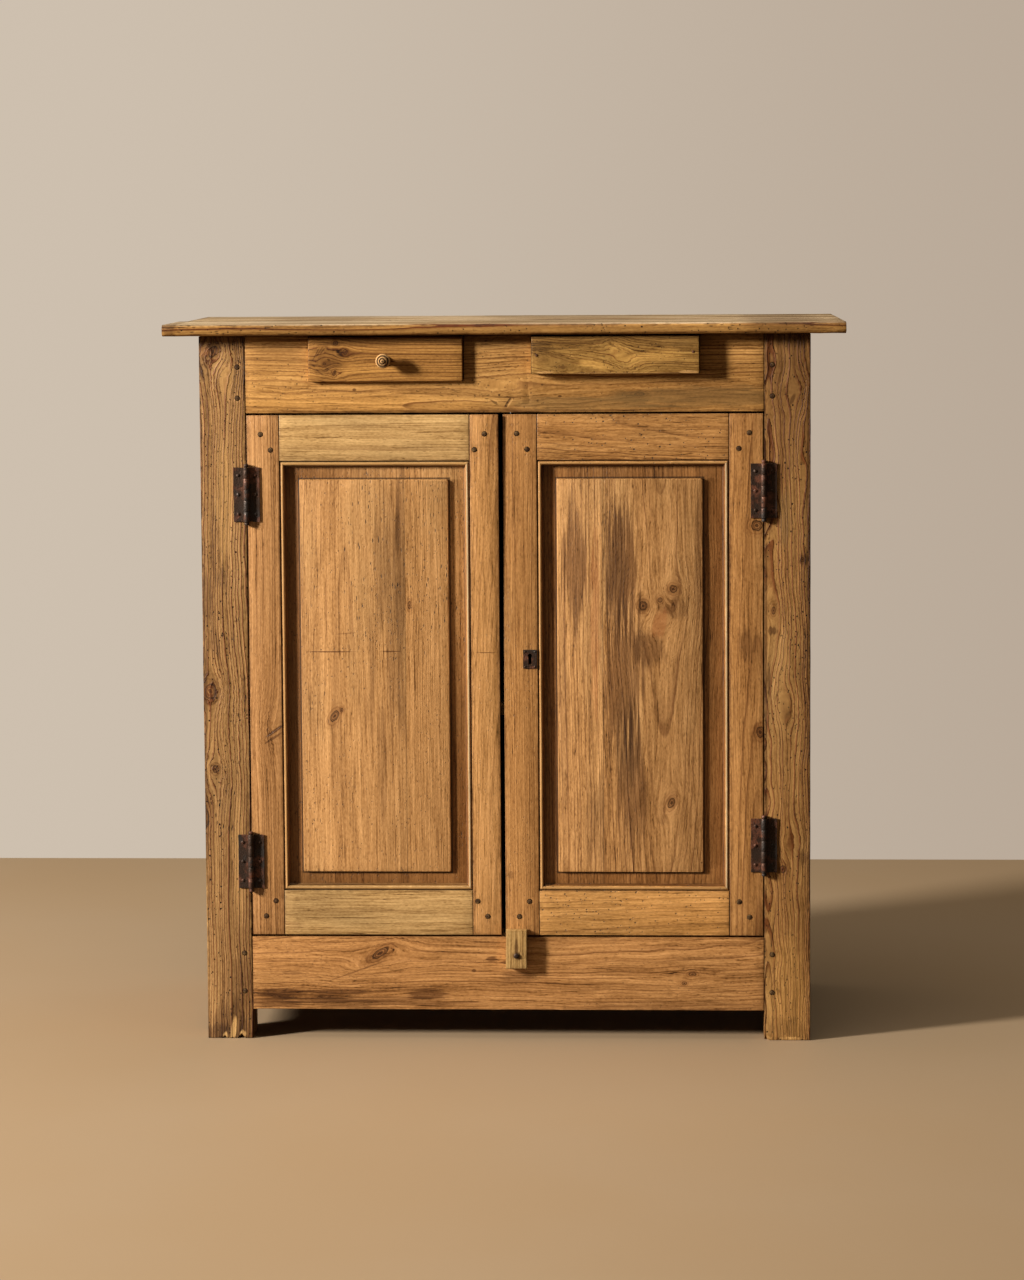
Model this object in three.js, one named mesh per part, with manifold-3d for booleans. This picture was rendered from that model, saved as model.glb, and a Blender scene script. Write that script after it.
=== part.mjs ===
// Two-door pine cupboard with two small drawers in its frieze, of framed and pegged joinery.
// Millimetres, +Z up. The front faces -Y, and the origin is on the floor under the middle of its box.
// Inside the cupboard group, y = 0 is the front face of the posts, and x = 0 is the middle of the body.

import * as THREE from 'three';
import { mergeVertices } from 'three/addons/utils/BufferGeometryUtils.js';
import Module from 'manifold-3d';

const wasm = await Module();
wasm.setup();

// Fits and cuts shared by all pieces
const fitGap = 0.3;
const cutOverrun = 2;
const weldDistance = 0.001;

// Body
const bodyWidth = 1003;
const bodyDepth = 410;
const bodyHeight = 1172;
const postWidth = 76;
const postDepth = 62;

// Top of two boards
const topThickness = 20;
const topSideOverhang = 56;
const topFrontOverhang = 37;
const topBackOverhang = 8;
const topFrontBoardDepth = 195;
const topSeam = 1.6;
const topNoseRadius = 9;
const topBackBoardShortfall = 15;

// Frieze rail and bottom rail between the front posts
const friezeHeight = 127.5;
const friezeThickness = 26;
const bottomRailHeight = 123;
const bottomRailThickness = 26;
const underClearance = 49.6;

// Rails of the sides and of the back
const sideSetback = 6;
const sideRailThickness = 26;
const sideTopRailHeight = 110;
const sidePanelThickness = 12;
const sideGrooveDepth = 8;
const backRailThickness = 25;
const backTopRailHeight = 112;
const backBottomRailHeight = 96;
const backBoardThickness = 12;
const backRebateWidth = 12;
const backBoardSeam = 1.2;
const leftBackBoardWidth = 430;

// Tenons and pegs of the body
const railTenonThickness = 12;
const railTenonLength = 42;
const railTenonShoulder = 12;
const sideTenonThickness = 10;
const sideTenonLength = 30;
const backTenonLength = 34;
const pegRadius = 4;
const pegGap = 0.4;
const pegDepth = 34;
const postPegInset = 13;
const friezePegHeightShares = [0.2, 0.6];
const bottomRailPegHeightShares = [0.25, 0.77];
const sidePegInset = 14;

// Bottom board and shelf
const bottomBoardThickness = 20;
const shelfThickness = 20;
const shelfBelowLock = 44;
const housingDepth = 10;

// Doors
const doorThickness = 24;
const doorHeadGap = 2.5;
const doorFootGap = 3;
const doorHingeGap = 1.3;
const doorMeetingGap = 6.5;
const leftDoorWidth = 415;
const leftDoorHingeStile = 53.5;
const leftDoorMeetingStile = 47.5;
const rightDoorMeetingStile = 56;
const rightDoorHingeStile = 56;
const doorTopRail = 76;
const doorBottomRail = 75;
const doorTenonThickness = 8;
const doorTenonEndWall = 8;
const doorTenonShoulder = 12;
const doorPegNearEdge = 23;
const doorPegFarEdge = 40;
const doorPegNearEndShare = 0.42;
const doorPegFarEndShare = 0.76;
const doorPegEndWall = 3;

// Moulding stuck on the inner edges of the door frames, and the groove behind it
const mouldingWidth = 10.5;
const mouldingDepth = 10.5;
const mouldingDrop = 0.5;
const quirkWidth = 1.4;
const quirkDepth = 2;
const grooveWidth = 6.5;
const grooveDepth = 7;

// Raised panels of the doors
const panelEdgeThickness = 5.9;
const fieldRise = 5.5;
const fieldSlope = 1.2;
const fieldTopMargin = 20;
const fieldBottomMargin = 19;
const leftFieldHingeMargin = 21;
const leftFieldMeetingMargin = 25;
const rightFieldMeetingMargin = 21;
const rightFieldHingeMargin = 32;

// Iron hinges: leaves nailed on the faces of the posts and doors
const knuckleRadius = 5;
const pinRadius = 2.5;
const pinGap = 0.3;
const pinHeadRadius = 4.2;
const pinHeadHeight = 5;
const leafHeight = 91;
const leafReach = 22;
const leafThickness = 2.5;
const knuckleCount = 5;
const knuckleGap = 0.4;
const hingeNailReach = 14;
const hingeNailSpacing = 32;
const nailHeadRadius = 3;
const nailHeadHeight = 1.2;
const nailRadius = 1.5;
const nailLength = 15;
const leftUpperHingeDrop = 131;
const leftLowerHingeRise = 124;
const rightUpperHingeDrop = 127;
const rightLowerHingeRise = 152;

// Lock of the right door
const escutcheonWidth = 23;
const escutcheonHeight = 31.5;
const escutcheonThickness = 1.5;
const keyholeFromEdge = 43;
const keyholeHeight = 462;
const keyholeBowRadius = 3.4;
const keyholeSlotWidth = 5.2;
const keyholeBowRise = 5.5;
const keyholeSlotDrop = 9;
const escutcheonNailInset = 3.6;
const escutcheonNailRadius = 0.8;
const escutcheonNailHeadRadius = 1.6;
const escutcheonNailHeadHeight = 0.8;
const escutcheonNailLength = 8;
const lockCaseHeight = 70;
const lockCaseDepth = 13;
const lockCaseEdgeInset = 2;
const lockCasePastKeyhole = 16;
const lockWall = 2;
const boltHeight = 16;
const boltThickness = 5;
const boltAboveKeyhole = 17;
const boltTail = 46;
const boltNotchWidthShare = 0.25;
const boltNotchHeightShare = 0.33;

// Turn button under the right door
const buttonWidth = 36;
const buttonHeight = 65.5;
const buttonThickness = 16;
const buttonChamfer = 1;
const buttonPivotRise = 22.5;
const buttonPivotFromDoorEdge = 18;
const buttonOverlap = 12;
const buttonNailRadius = 2;
const buttonNailGap = 0.3;
const buttonNailHeadRadius = 4.5;
const buttonNailHeadHeight = 2.5;
const buttonNailLength = 40;

// Drawers
const leftDrawerWidth = 253.5;
const rightDrawerWidth = 274;
const leftDrawerFromMiddle = 66.5;
const rightDrawerFromMiddle = 46;
const leftDrawerHeight = 74;
const rightDrawerHeight = 62.5;
const leftDrawerProud = 11;
const rightDrawerProud = 22;
const drawerSideGap = 1.2;
const drawerHeadGap = 1.5;
const drawerFrontThickness = 22;
const drawerSideThickness = 12;
const drawerSideInset = 2;
const drawerSideHeadroom = 6;
const drawerBackThickness = 12;
const drawerBottomThickness = 7;
const drawerBottomRise = 7;
const drawerGroove = 5;
const drawerStopGap = 0.5;
const bedThickness = 15;
const bedLipHeight = 8;
const bedLipWidth = 9;
const bedHousing = 8;

// Turned knob of the left drawer
const knobShankRadius = 5;
const knobShankGap = 0.3;
const knobProjection = 30;
const knobRadius = 12;
const knobAboveMiddle = -2.5;
const knobBesideMiddle = -2.5;
const knobTurningShares = [
  [0.7, 0], [0.7, 0.12], [0.47, 0.24], [0.47, 0.36], [0.75, 0.46], [1, 0.57],
  [1, 0.7], [0.82, 0.79], [0.62, 0.8], [0.55, 0.89], [0.3, 0.9], [0.2, 0.99], [0, 1],
];

// Facets of round pieces
const knuckleSides = 12;
const pegSides = 10;
const nailSides = 6;
const knobSides = 20;
const mouldingSteps = 5;
const noseSteps = 5;

// Places that follow from the sizes
const halfWidth = bodyWidth / 2;
const openingHalf = halfWidth - postWidth;
const backPostFront = bodyDepth - postDepth;
const friezeBottom = bodyHeight - friezeHeight;
const bottomRailTop = underClearance + bottomRailHeight;
const bottomBoardUnderside = bottomRailTop - bottomBoardThickness;
const sideOuter = halfWidth - sideSetback;
const sideInner = sideOuter - sideRailThickness;
const sidePanelOuter = (sideOuter + sideInner + sidePanelThickness) / 2;
const sidePanelInner = sidePanelOuter - sidePanelThickness;
const sideTopRailUnderside = bodyHeight - sideTopRailHeight;
const sideBottomRailTop = bottomBoardUnderside - fitGap;
const backBoardFront = bodyDepth - backBoardThickness;
const backRailBack = backBoardFront - fitGap;
const backRailFront = backRailBack - backRailThickness;
const backBottomRailTop = bottomBoardUnderside - fitGap;
const backBottomRailUnderside = backBottomRailTop - backBottomRailHeight;
const doorFoot = bottomRailTop + doorFootGap;
const doorHead = friezeBottom - doorHeadGap;
const doorHeight = doorHead - doorFoot;
const leftDoorStart = -openingHalf + doorHingeGap;
const rightDoorStart = leftDoorStart + leftDoorWidth + doorMeetingGap;
const rightDoorWidth = openingHalf - doorHingeGap - rightDoorStart;
const hingeAxisX = openingHalf - doorHingeGap / 2;
const hingeAxisY = -knuckleRadius - fitGap;
const doorTenonFront = (doorThickness - doorTenonThickness) / 2;
const panelFront = mouldingDepth + (grooveWidth - panelEdgeThickness) / 2;
const railTenonFront = (friezeThickness - railTenonThickness) / 2;
const shelfFront = Math.max(friezeThickness, bottomRailThickness) + fitGap;
const topBackEdge = bodyDepth + topBackOverhang;
const boltUnderside = keyholeHeight + boltAboveKeyhole;
const lockCaseTop = boltUnderside + boltHeight + lockWall * 2;
const lockCaseFoot = lockCaseTop - lockCaseHeight;
const lockCaseFront = doorThickness + fitGap;
const boltFront = lockCaseFront + (lockCaseDepth - lockWall - boltThickness) / 2;
const shelfUnderside = doorFoot + lockCaseFoot - shelfBelowLock - shelfThickness;
const knobTip = -leftDrawerProud - knobProjection;
const frontMost = Math.min(knobTip, -topFrontOverhang);

// Colours and finishes, one set for each kind of wood surface and for the iron
const finishes = {
  post: { color: 0x9d6f42, roughness: 0.62, metalness: 0 },
  frame: { color: 0xb27a45, roughness: 0.55, metalness: 0 },
  paleRail: { color: 0xc6955a, roughness: 0.55, metalness: 0 },
  panel: { color: 0xbc854e, roughness: 0.52, metalness: 0 },
  top: { color: 0xad8e68, roughness: 0.6, metalness: 0 },
  hiddenWood: { color: 0xa98455, roughness: 0.75, metalness: 0 },
  drawer: { color: 0xa3743f, roughness: 0.55, metalness: 0 },
  knob: { color: 0x785530, roughness: 0.5, metalness: 0 },
  button: { color: 0xb39256, roughness: 0.7, metalness: 0 },
  iron: { color: 0x33271f, roughness: 0.6, metalness: 0.7 },
};

// Solid of a closed geometry, once its shared corners are merged
function toSolid(geometry) {
  const bare = geometry.clone();
  bare.deleteAttribute('normal');
  bare.deleteAttribute('uv');
  const merged = mergeVertices(bare, weldDistance);
  return new wasm.Manifold(new wasm.Mesh({
    numProp: 3,
    vertProperties: new Float32Array(merged.attributes.position.array),
    triVerts: new Uint32Array(merged.index.array),
  }));
}

// Geometry of a solid
function toGeometry(solid) {
  const mesh = solid.getMesh();
  const geometry = new THREE.BufferGeometry();
  geometry.setAttribute('position', new THREE.BufferAttribute(new Float32Array(mesh.vertProperties), 3));
  geometry.setIndex(new THREE.BufferAttribute(new Uint32Array(mesh.triVerts), 1));
  geometry.computeVertexNormals();
  return geometry;
}

// Named mesh of a solid, with its own material, added to a group
function addPiece(group, name, solid, finish) {
  const mesh = new THREE.Mesh(toGeometry(solid), new THREE.MeshStandardMaterial(finish));
  mesh.name = name;
  group.add(mesh);
  return mesh;
}

// Solid of a base with pieces joined to it and others cut from it
function worked(base, joins, cuts) {
  let solid = base;
  for (const join of joins) {
    solid = solid.add(join);
  }
  for (const cut of cuts) {
    solid = solid.subtract(cut);
  }
  return solid;
}

// Rectangular block between two values on each axis, given in either order
function block(x0, x1, y0, y1, z0, z1) {
  const geometry = new THREE.BoxGeometry(Math.abs(x1 - x0), Math.abs(y1 - y0), Math.abs(z1 - z0));
  geometry.translate((x0 + x1) / 2, (y0 + y1) / 2, (z0 + z1) / 2);
  return toSolid(geometry);
}

// Round rod along Y through the point x, z
function rodAlongY(x, z, y0, y1, radius, sides) {
  const geometry = new THREE.CylinderGeometry(radius, radius, Math.abs(y1 - y0), sides);
  geometry.translate(x, (y0 + y1) / 2, z);
  return toSolid(geometry);
}

// Round rod along X through the point y, z
function rodAlongX(y, z, x0, x1, radius, sides) {
  const geometry = new THREE.CylinderGeometry(radius, radius, Math.abs(x1 - x0), sides);
  geometry.rotateZ(Math.PI / 2);
  geometry.translate((x0 + x1) / 2, y, z);
  return toSolid(geometry);
}

// Round rod along Z through the point x, y
function rodAlongZ(x, y, z0, z1, radius, sides) {
  const geometry = new THREE.CylinderGeometry(radius, radius, Math.abs(z1 - z0), sides);
  geometry.rotateX(Math.PI / 2);
  geometry.translate(x, y, (z0 + z1) / 2);
  return toSolid(geometry);
}

// Upright board of an outline in the x, y plane, from z0 up to z1
function outlineBoard(points, z0, z1) {
  const shape = new THREE.Shape(points.map(([x, y]) => new THREE.Vector2(x, y)));
  const geometry = new THREE.ExtrudeGeometry(shape, { depth: z1 - z0, bevelEnabled: false });
  geometry.translate(0, 0, z0);
  return toSolid(geometry);
}

// Board of an outline in the y, z plane, from x0 to x1
function outlineAlongX(points, x0, x1) {
  const shape = new THREE.Shape(points.map(([y, z]) => new THREE.Vector2(y, z)));
  const geometry = new THREE.ExtrudeGeometry(shape, { depth: x1 - x0, bevelEnabled: false });
  geometry.applyMatrix4(new THREE.Matrix4().makeBasis(
    new THREE.Vector3(0, 1, 0),
    new THREE.Vector3(0, 0, 1),
    new THREE.Vector3(1, 0, 0),
  ));
  geometry.translate(x0, 0, 0);
  return toSolid(geometry);
}

// Both sides of the body, as signs of x
const sideSigns = { left: -1, right: 1 };

// Cuts in a front post for the frieze or bottom rail: the mortise and its peg holes
function railMortise(sign, z0, z1, pegShares) {
  const inner = sign * (openingHalf - cutOverrun);
  const deep = sign * (openingHalf + railTenonLength);
  const cuts = [block(
    inner, deep,
    railTenonFront - fitGap, railTenonFront + railTenonThickness + fitGap,
    z0 + railTenonShoulder - fitGap, z1 - railTenonShoulder + fitGap,
  )];
  for (const share of pegShares) {
    const x = sign * (openingHalf + postPegInset);
    const z = z0 + (z1 - z0) * share;
    cuts.push(rodAlongY(x, z, -cutOverrun, pegDepth + fitGap, pegRadius + pegGap, pegSides));
  }
  return cuts;
}

// Rail between the front posts with its two tenons, and the pegs that pin them
function frontRail(z0, z1, thickness, pegShares) {
  const joins = [];
  for (const sign of [-1, 1]) {
    joins.push(block(
      sign * (openingHalf - fitGap - cutOverrun), sign * (openingHalf + railTenonLength - fitGap),
      railTenonFront, railTenonFront + railTenonThickness,
      z0 + railTenonShoulder, z1 - railTenonShoulder,
    ));
    for (const share of pegShares) {
      const x = sign * (openingHalf + postPegInset);
      joins.push(rodAlongY(x, z0 + (z1 - z0) * share, 0, pegDepth, pegRadius, pegSides));
    }
  }
  const body = block(-openingHalf + fitGap, openingHalf - fitGap, 0, thickness, z0, z1);
  return worked(body, joins, []);
}

// Middle of the thickness of the side rails, where their tenons sit
const sideMiddle = (sideOuter + sideInner) / 2;

// Cuts in a post for a side rail, on the post's face at y, going the way of yWay
function sideMortise(sign, faceY, yWay, z0, z1) {
  const pegZ = (z0 + z1) / 2;
  const pegY = faceY + yWay * sidePegInset;
  return [
    block(
      sign * (sideMiddle - sideTenonThickness / 2 - fitGap),
      sign * (sideMiddle + sideTenonThickness / 2 + fitGap),
      faceY - yWay * cutOverrun, faceY + yWay * sideTenonLength,
      z0 + railTenonShoulder - fitGap, z1 - railTenonShoulder + fitGap,
    ),
    rodAlongX(pegY, pegZ, sign * sideInner, sign * (halfWidth + cutOverrun), pegRadius + pegGap, pegSides),
  ];
}

// Side rail with its two tenons, their pegs, and the groove for the side panel on one edge
function sideRail(sign, z0, z1, grooveAtTop) {
  const front = postDepth;
  const back = backPostFront;
  const joins = [];
  for (const [faceY, yWay] of [[front, -1], [back, 1]]) {
    joins.push(block(
      sign * (sideMiddle - sideTenonThickness / 2), sign * (sideMiddle + sideTenonThickness / 2),
      faceY - yWay * (fitGap + cutOverrun), faceY + yWay * (sideTenonLength - fitGap),
      z0 + railTenonShoulder, z1 - railTenonShoulder,
    ));
    joins.push(rodAlongX(
      faceY + yWay * sidePegInset, (z0 + z1) / 2,
      sign * (sideInner + fitGap), sign * halfWidth, pegRadius, pegSides,
    ));
  }
  const body = block(sign * sideInner, sign * sideOuter, front + fitGap, back - fitGap, z0, z1);
  const grooveEdge = grooveAtTop ? z1 : z0;
  const grooveWay = grooveAtTop ? 1 : -1;
  const groove = block(
    sign * (sidePanelInner - fitGap), sign * (sidePanelOuter + fitGap),
    front, back,
    grooveEdge + grooveWay * cutOverrun, grooveEdge - grooveWay * sideGrooveDepth,
  );
  return worked(body, joins, [groove]);
}

// Trenches in a post for the bottom board and the shelf
function boardHousings(sign, y0, y1) {
  const housings = [];
  const boards = [[bottomBoardUnderside, bottomBoardThickness], [shelfUnderside, shelfThickness]];
  for (const [z0, thickness] of boards) {
    housings.push(block(
      sign * (openingHalf - cutOverrun), sign * (openingHalf + housingDepth),
      y0, y1, z0 - fitGap, z0 + thickness + fitGap,
    ));
  }
  return housings;
}

// Heights of the hinges on each side
const hingeHeights = {
  left: { upper: doorHead - leftUpperHingeDrop, lower: doorFoot + leftLowerHingeRise },
  right: { upper: doorHead - rightUpperHingeDrop, lower: doorFoot + rightLowerHingeRise },
};

// Holes for the nails of the hinge leaves, in the wood on the side given by way
function hingeNailHoles(axisX, way, centres) {
  const holes = [];
  for (const centre of centres) {
    for (const step of [-1, 0, 1]) {
      const x = axisX + way * hingeNailReach;
      const z = centre + step * hingeNailSpacing;
      holes.push(rodAlongY(x, z, -cutOverrun, nailLength + fitGap, nailRadius + fitGap, nailSides));
    }
  }
  return holes;
}

// Groove in a post for the side panel
function panelGrooveInPost(sign, faceY, yWay) {
  return block(
    sign * (sidePanelInner - fitGap), sign * (sidePanelOuter + fitGap),
    faceY - yWay * cutOverrun, faceY + yWay * sideGrooveDepth,
    sideBottomRailTop - sideGrooveDepth, sideTopRailUnderside + sideGrooveDepth,
  );
}

// Corner posts
function addPosts(group) {
  for (const [side, sign] of Object.entries(sideSigns)) {
    const inner = sign * openingHalf;
    const outer = sign * halfWidth;
    const front = block(inner, outer, 0, postDepth, 0, bodyHeight);
    const frontCuts = [
      ...railMortise(sign, friezeBottom, bodyHeight, friezePegHeightShares),
      ...railMortise(sign, underClearance, bottomRailTop, bottomRailPegHeightShares),
      ...sideMortise(sign, postDepth, -1, sideTopRailUnderside, bodyHeight),
      ...sideMortise(sign, postDepth, -1, underClearance, sideBottomRailTop),
      ...boardHousings(sign, shelfFront - fitGap, postDepth + cutOverrun),
      ...hingeNailHoles(sign * hingeAxisX, sign, Object.values(hingeHeights[side])),
      panelGrooveInPost(sign, postDepth, -1),
    ];
    addPiece(group, `post_front_${side}`, worked(front, [], frontCuts), finishes.post);

    const back = block(inner, outer, backPostFront, bodyDepth, 0, bodyHeight);
    const backCuts = [
      ...sideMortise(sign, backPostFront, 1, sideTopRailUnderside, bodyHeight),
      ...sideMortise(sign, backPostFront, 1, underClearance, sideBottomRailTop),
      ...boardHousings(sign, backPostFront - cutOverrun, backBoardFront),
      ...backMortises(sign),
      panelGrooveInPost(sign, backPostFront, 1),
      block(
        sign * (openingHalf - cutOverrun), sign * (openingHalf + backRebateWidth),
        backBoardFront, bodyDepth + cutOverrun,
        backBottomRailUnderside - fitGap, bodyHeight + cutOverrun,
      ),
    ];
    addPiece(group, `post_back_${side}`, worked(back, [], backCuts), finishes.post);
  }
}

// The two rails of the back, as height ranges
const backRails = {
  top: [bodyHeight - backTopRailHeight, bodyHeight],
  bottom: [backBottomRailUnderside, backBottomRailTop],
};

// Middle of the thickness of the back rails
const backRailMiddle = (backRailFront + backRailBack) / 2;

// Mortises in a back post for the rails of the back
function backMortises(sign) {
  return Object.values(backRails).map(([z0, z1]) => block(
    sign * (openingHalf - cutOverrun), sign * (openingHalf + backTenonLength),
    backRailMiddle - railTenonThickness / 2 - fitGap, backRailMiddle + railTenonThickness / 2 + fitGap,
    z0 + railTenonShoulder - fitGap, z1 - railTenonShoulder + fitGap,
  ));
}

// Outline and bed height of each drawer
const drawers = {
  left: {
    x0: -leftDrawerFromMiddle - leftDrawerWidth,
    x1: -leftDrawerFromMiddle,
    height: leftDrawerHeight,
    proud: leftDrawerProud,
  },
  right: {
    x0: rightDrawerFromMiddle,
    x1: rightDrawerFromMiddle + rightDrawerWidth,
    height: rightDrawerHeight,
    proud: rightDrawerProud,
  },
};

// Top face of a drawer's bed, on which the drawer slides
function bedTop(drawer) {
  return bodyHeight - drawerHeadGap - drawer.height - fitGap;
}

// Ends of a drawer's bed, which is wider than the drawer by the gap and the lips
function bedReach(drawer) {
  const extra = drawerSideGap + bedLipWidth;
  return [drawer.x0 - extra, drawer.x1 + extra];
}

// Frieze rail with the drawer notches, and trenches in its back for the beds
function addFriezeRail(group) {
  const cuts = [];
  for (const drawer of Object.values(drawers)) {
    const floor = bedTop(drawer);
    const [bedStart, bedEnd] = bedReach(drawer);
    cuts.push(block(
      drawer.x0 - drawerSideGap, drawer.x1 + drawerSideGap,
      -cutOverrun, friezeThickness + cutOverrun, floor, bodyHeight + cutOverrun,
    ));
    cuts.push(block(
      bedStart - fitGap, bedEnd + fitGap,
      friezeThickness - bedHousing, friezeThickness + cutOverrun,
      floor - bedThickness - fitGap, floor + bedLipHeight + fitGap,
    ));
  }
  const rail = frontRail(friezeBottom, bodyHeight, friezeThickness, friezePegHeightShares);
  addPiece(group, 'frieze_rail', worked(rail, [], cuts), finishes.frame);
}

// Place of the turn button's pivot
const buttonPivotX = rightDoorStart + buttonPivotFromDoorEdge;
const buttonPivotZ = doorFoot + buttonOverlap - buttonHeight + buttonPivotRise;

// Bottom rail with the hole for the turn button's nail
function addBottomRail(group) {
  const rail = frontRail(underClearance, bottomRailTop, bottomRailThickness, bottomRailPegHeightShares);
  const hole = rodAlongY(
    buttonPivotX, buttonPivotZ,
    -cutOverrun, bottomRailThickness + cutOverrun,
    buttonNailRadius + fitGap, pegSides,
  );
  addPiece(group, 'bottom_rail', worked(rail, [], [hole]), finishes.frame);
}

// Rails and loose panels of both sides
function addSides(group) {
  for (const [side, sign] of Object.entries(sideSigns)) {
    const upper = sideRail(sign, sideTopRailUnderside, bodyHeight, false);
    const lower = sideRail(sign, underClearance, sideBottomRailTop, true);
    addPiece(group, `side_rail_top_${side}`, upper, finishes.frame);
    addPiece(group, `side_rail_bottom_${side}`, lower, finishes.frame);
    const tongue = sideGrooveDepth - fitGap;
    const panel = block(
      sign * sidePanelInner, sign * sidePanelOuter,
      postDepth - tongue, backPostFront + tongue,
      sideBottomRailTop - tongue, sideTopRailUnderside + tongue,
    );
    addPiece(group, `side_panel_${side}`, panel, finishes.panel);
  }
}

// Rails of the back, with trenches for the beds in the upper one, and the back boards
function addBack(group) {
  for (const [name, [z0, z1]] of Object.entries(backRails)) {
    const joins = [];
    for (const sign of [-1, 1]) {
      joins.push(block(
        sign * (openingHalf - fitGap - cutOverrun), sign * (openingHalf + backTenonLength - fitGap),
        backRailMiddle - railTenonThickness / 2, backRailMiddle + railTenonThickness / 2,
        z0 + railTenonShoulder, z1 - railTenonShoulder,
      ));
    }
    const cuts = [];
    if (name === 'top') {
      for (const drawer of Object.values(drawers)) {
        const [bedStart, bedEnd] = bedReach(drawer);
        cuts.push(block(
          bedStart - fitGap, bedEnd + fitGap,
          backRailFront - cutOverrun, backRailFront + bedHousing,
          bedTop(drawer) - bedThickness - fitGap, bedTop(drawer) + bedLipHeight + fitGap,
        ));
      }
    }
    const rail = block(-openingHalf + fitGap, openingHalf - fitGap, backRailFront, backRailBack, z0, z1);
    addPiece(group, `back_rail_${name}`, worked(rail, joins, cuts), finishes.hiddenWood);
  }
  const reach = openingHalf + backRebateWidth - fitGap;
  const seam = -reach + leftBackBoardWidth;
  const ranges = { left: [-reach, seam], right: [seam + backBoardSeam, reach] };
  for (const [side, [x0, x1]] of Object.entries(ranges)) {
    const board = block(x0, x1, backBoardFront, bodyDepth, backBottomRailUnderside, bodyHeight);
    addPiece(group, `back_board_${side}`, board, finishes.hiddenWood);
  }
}

// Board let into the four posts, which also fills the bays between front and back posts
function housedBoard(z0, thickness) {
  const housed = openingHalf + housingDepth - fitGap;
  const bay = sidePanelInner - fitGap;
  const bayFront = postDepth + fitGap;
  const bayBack = backPostFront - fitGap;
  const back = backBoardFront - fitGap;
  const rightHalf = [
    [openingHalf - fitGap, shelfFront],
    [housed, shelfFront],
    [housed, bayFront],
    [bay, bayFront],
    [bay, bayBack],
    [housed, bayBack],
    [housed, back],
  ];
  const leftHalf = rightHalf.map(([x, y]) => [-x, y]).reverse();
  return outlineBoard([...rightHalf, ...leftHalf], z0, z0 + thickness);
}

function addShelves(group) {
  const bottom = housedBoard(bottomBoardUnderside, bottomBoardThickness);
  addPiece(group, 'bottom_board', bottom, finishes.hiddenWood);
  addPiece(group, 'shelf', housedBoard(shelfUnderside, shelfThickness), finishes.hiddenWood);
}

// Top: a front board with a rounded nose and a wider board behind it
function addTop(group) {
  const end = halfWidth + topSideOverhang;
  const z0 = bodyHeight + fitGap;
  const z1 = z0 + topThickness;
  const noseCentreZ = (z0 + z1) / 2;
  const noseY = -topFrontOverhang;
  const rise = topThickness / 2;
  const outline = [];
  for (let i = 0; i <= noseSteps; i += 1) {
    const angle = Math.PI * (i / noseSteps - 1 / 2);
    outline.push([
      noseY + topNoseRadius * (1 - Math.cos(angle)),
      noseCentreZ + rise * Math.sin(angle),
    ]);
  }
  const seamY = noseY + topFrontBoardDepth;
  outline.push([seamY, z1], [seamY, z0]);
  addPiece(group, 'top_board_front', outlineAlongX(outline.reverse(), -end, end), finishes.top);
  const back = block(-end + topBackBoardShortfall, end, seamY + topSeam, topBackEdge, z0, z1);
  addPiece(group, 'top_board_back', back, finishes.top);
}

// Beds of the drawers: boards with a lip along each side, let into the frieze and the back rail
function addBeds(group) {
  for (const [side, drawer] of Object.entries(drawers)) {
    const [x0, x1] = bedReach(drawer);
    const y0 = friezeThickness - bedHousing + fitGap;
    const y1 = backRailFront + bedHousing - fitGap;
    const top = bedTop(drawer);
    const board = block(x0, x1, y0, y1, top - bedThickness, top + bedLipHeight);
    const channel = block(
      x0 + bedLipWidth, x1 - bedLipWidth,
      y0 - cutOverrun, y1 + cutOverrun, top, top + bedLipHeight + cutOverrun,
    );
    addPiece(group, `drawer_bed_${side}`, worked(board, [], [channel]), finishes.hiddenWood);
  }
}

// Height range of one knuckle of a hinge, counted from the bottom
function knuckleRange(index) {
  const pitch = leafHeight / knuckleCount;
  const start = -leafHeight / 2 + index * pitch;
  return [start + knuckleGap / 2, start + pitch - knuckleGap / 2];
}

// Leaf of a hinge, with the knuckles whose index has the given parity, on the side given by way
function hingeLeaf(way, parity) {
  const joins = [];
  const cuts = [];
  for (let index = 0; index < knuckleCount; index += 1) {
    const [z0, z1] = knuckleRange(index);
    if (index % 2 === parity) {
      joins.push(rodAlongZ(0, 0, z0, z1, knuckleRadius, knuckleSides));
    } else {
      const radius = knuckleRadius + knuckleGap * 2;
      cuts.push(rodAlongZ(0, 0, z0 - knuckleGap, z1 + knuckleGap, radius, knuckleSides));
    }
  }
  const half = leafHeight / 2 - knuckleGap / 2;
  let solid = block(0, way * leafReach, knuckleRadius - leafThickness, knuckleRadius, -half, half);
  solid = worked(worked(solid, [], cuts), joins, [rodAlongZ(
    0, 0, -leafHeight, leafHeight, pinRadius + pinGap, knuckleSides,
  )]);
  for (const step of [-1, 0, 1]) {
    const x = way * hingeNailReach;
    const z = step * hingeNailSpacing;
    const face = knuckleRadius - leafThickness;
    const end = knuckleRadius + fitGap + nailLength;
    const headStart = face - nailHeadHeight;
    solid = solid.add(rodAlongY(x, z, headStart, face + nailHeadHeight, nailHeadRadius, pegSides));
    solid = solid.add(rodAlongY(x, z, face, end, nailRadius, nailSides));
  }
  return solid;
}

// Pin of a hinge, with a burred head at each end
function hingePin() {
  const end = leafHeight / 2 + fitGap;
  return worked(
    rodAlongZ(0, 0, -end - pinHeadHeight, end + pinHeadHeight, pinRadius, knuckleSides),
    [
      rodAlongZ(0, 0, end, end + pinHeadHeight, pinHeadRadius, knuckleSides),
      rodAlongZ(0, 0, -end - pinHeadHeight, -end, pinHeadRadius, knuckleSides),
    ],
    [],
  );
}

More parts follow.
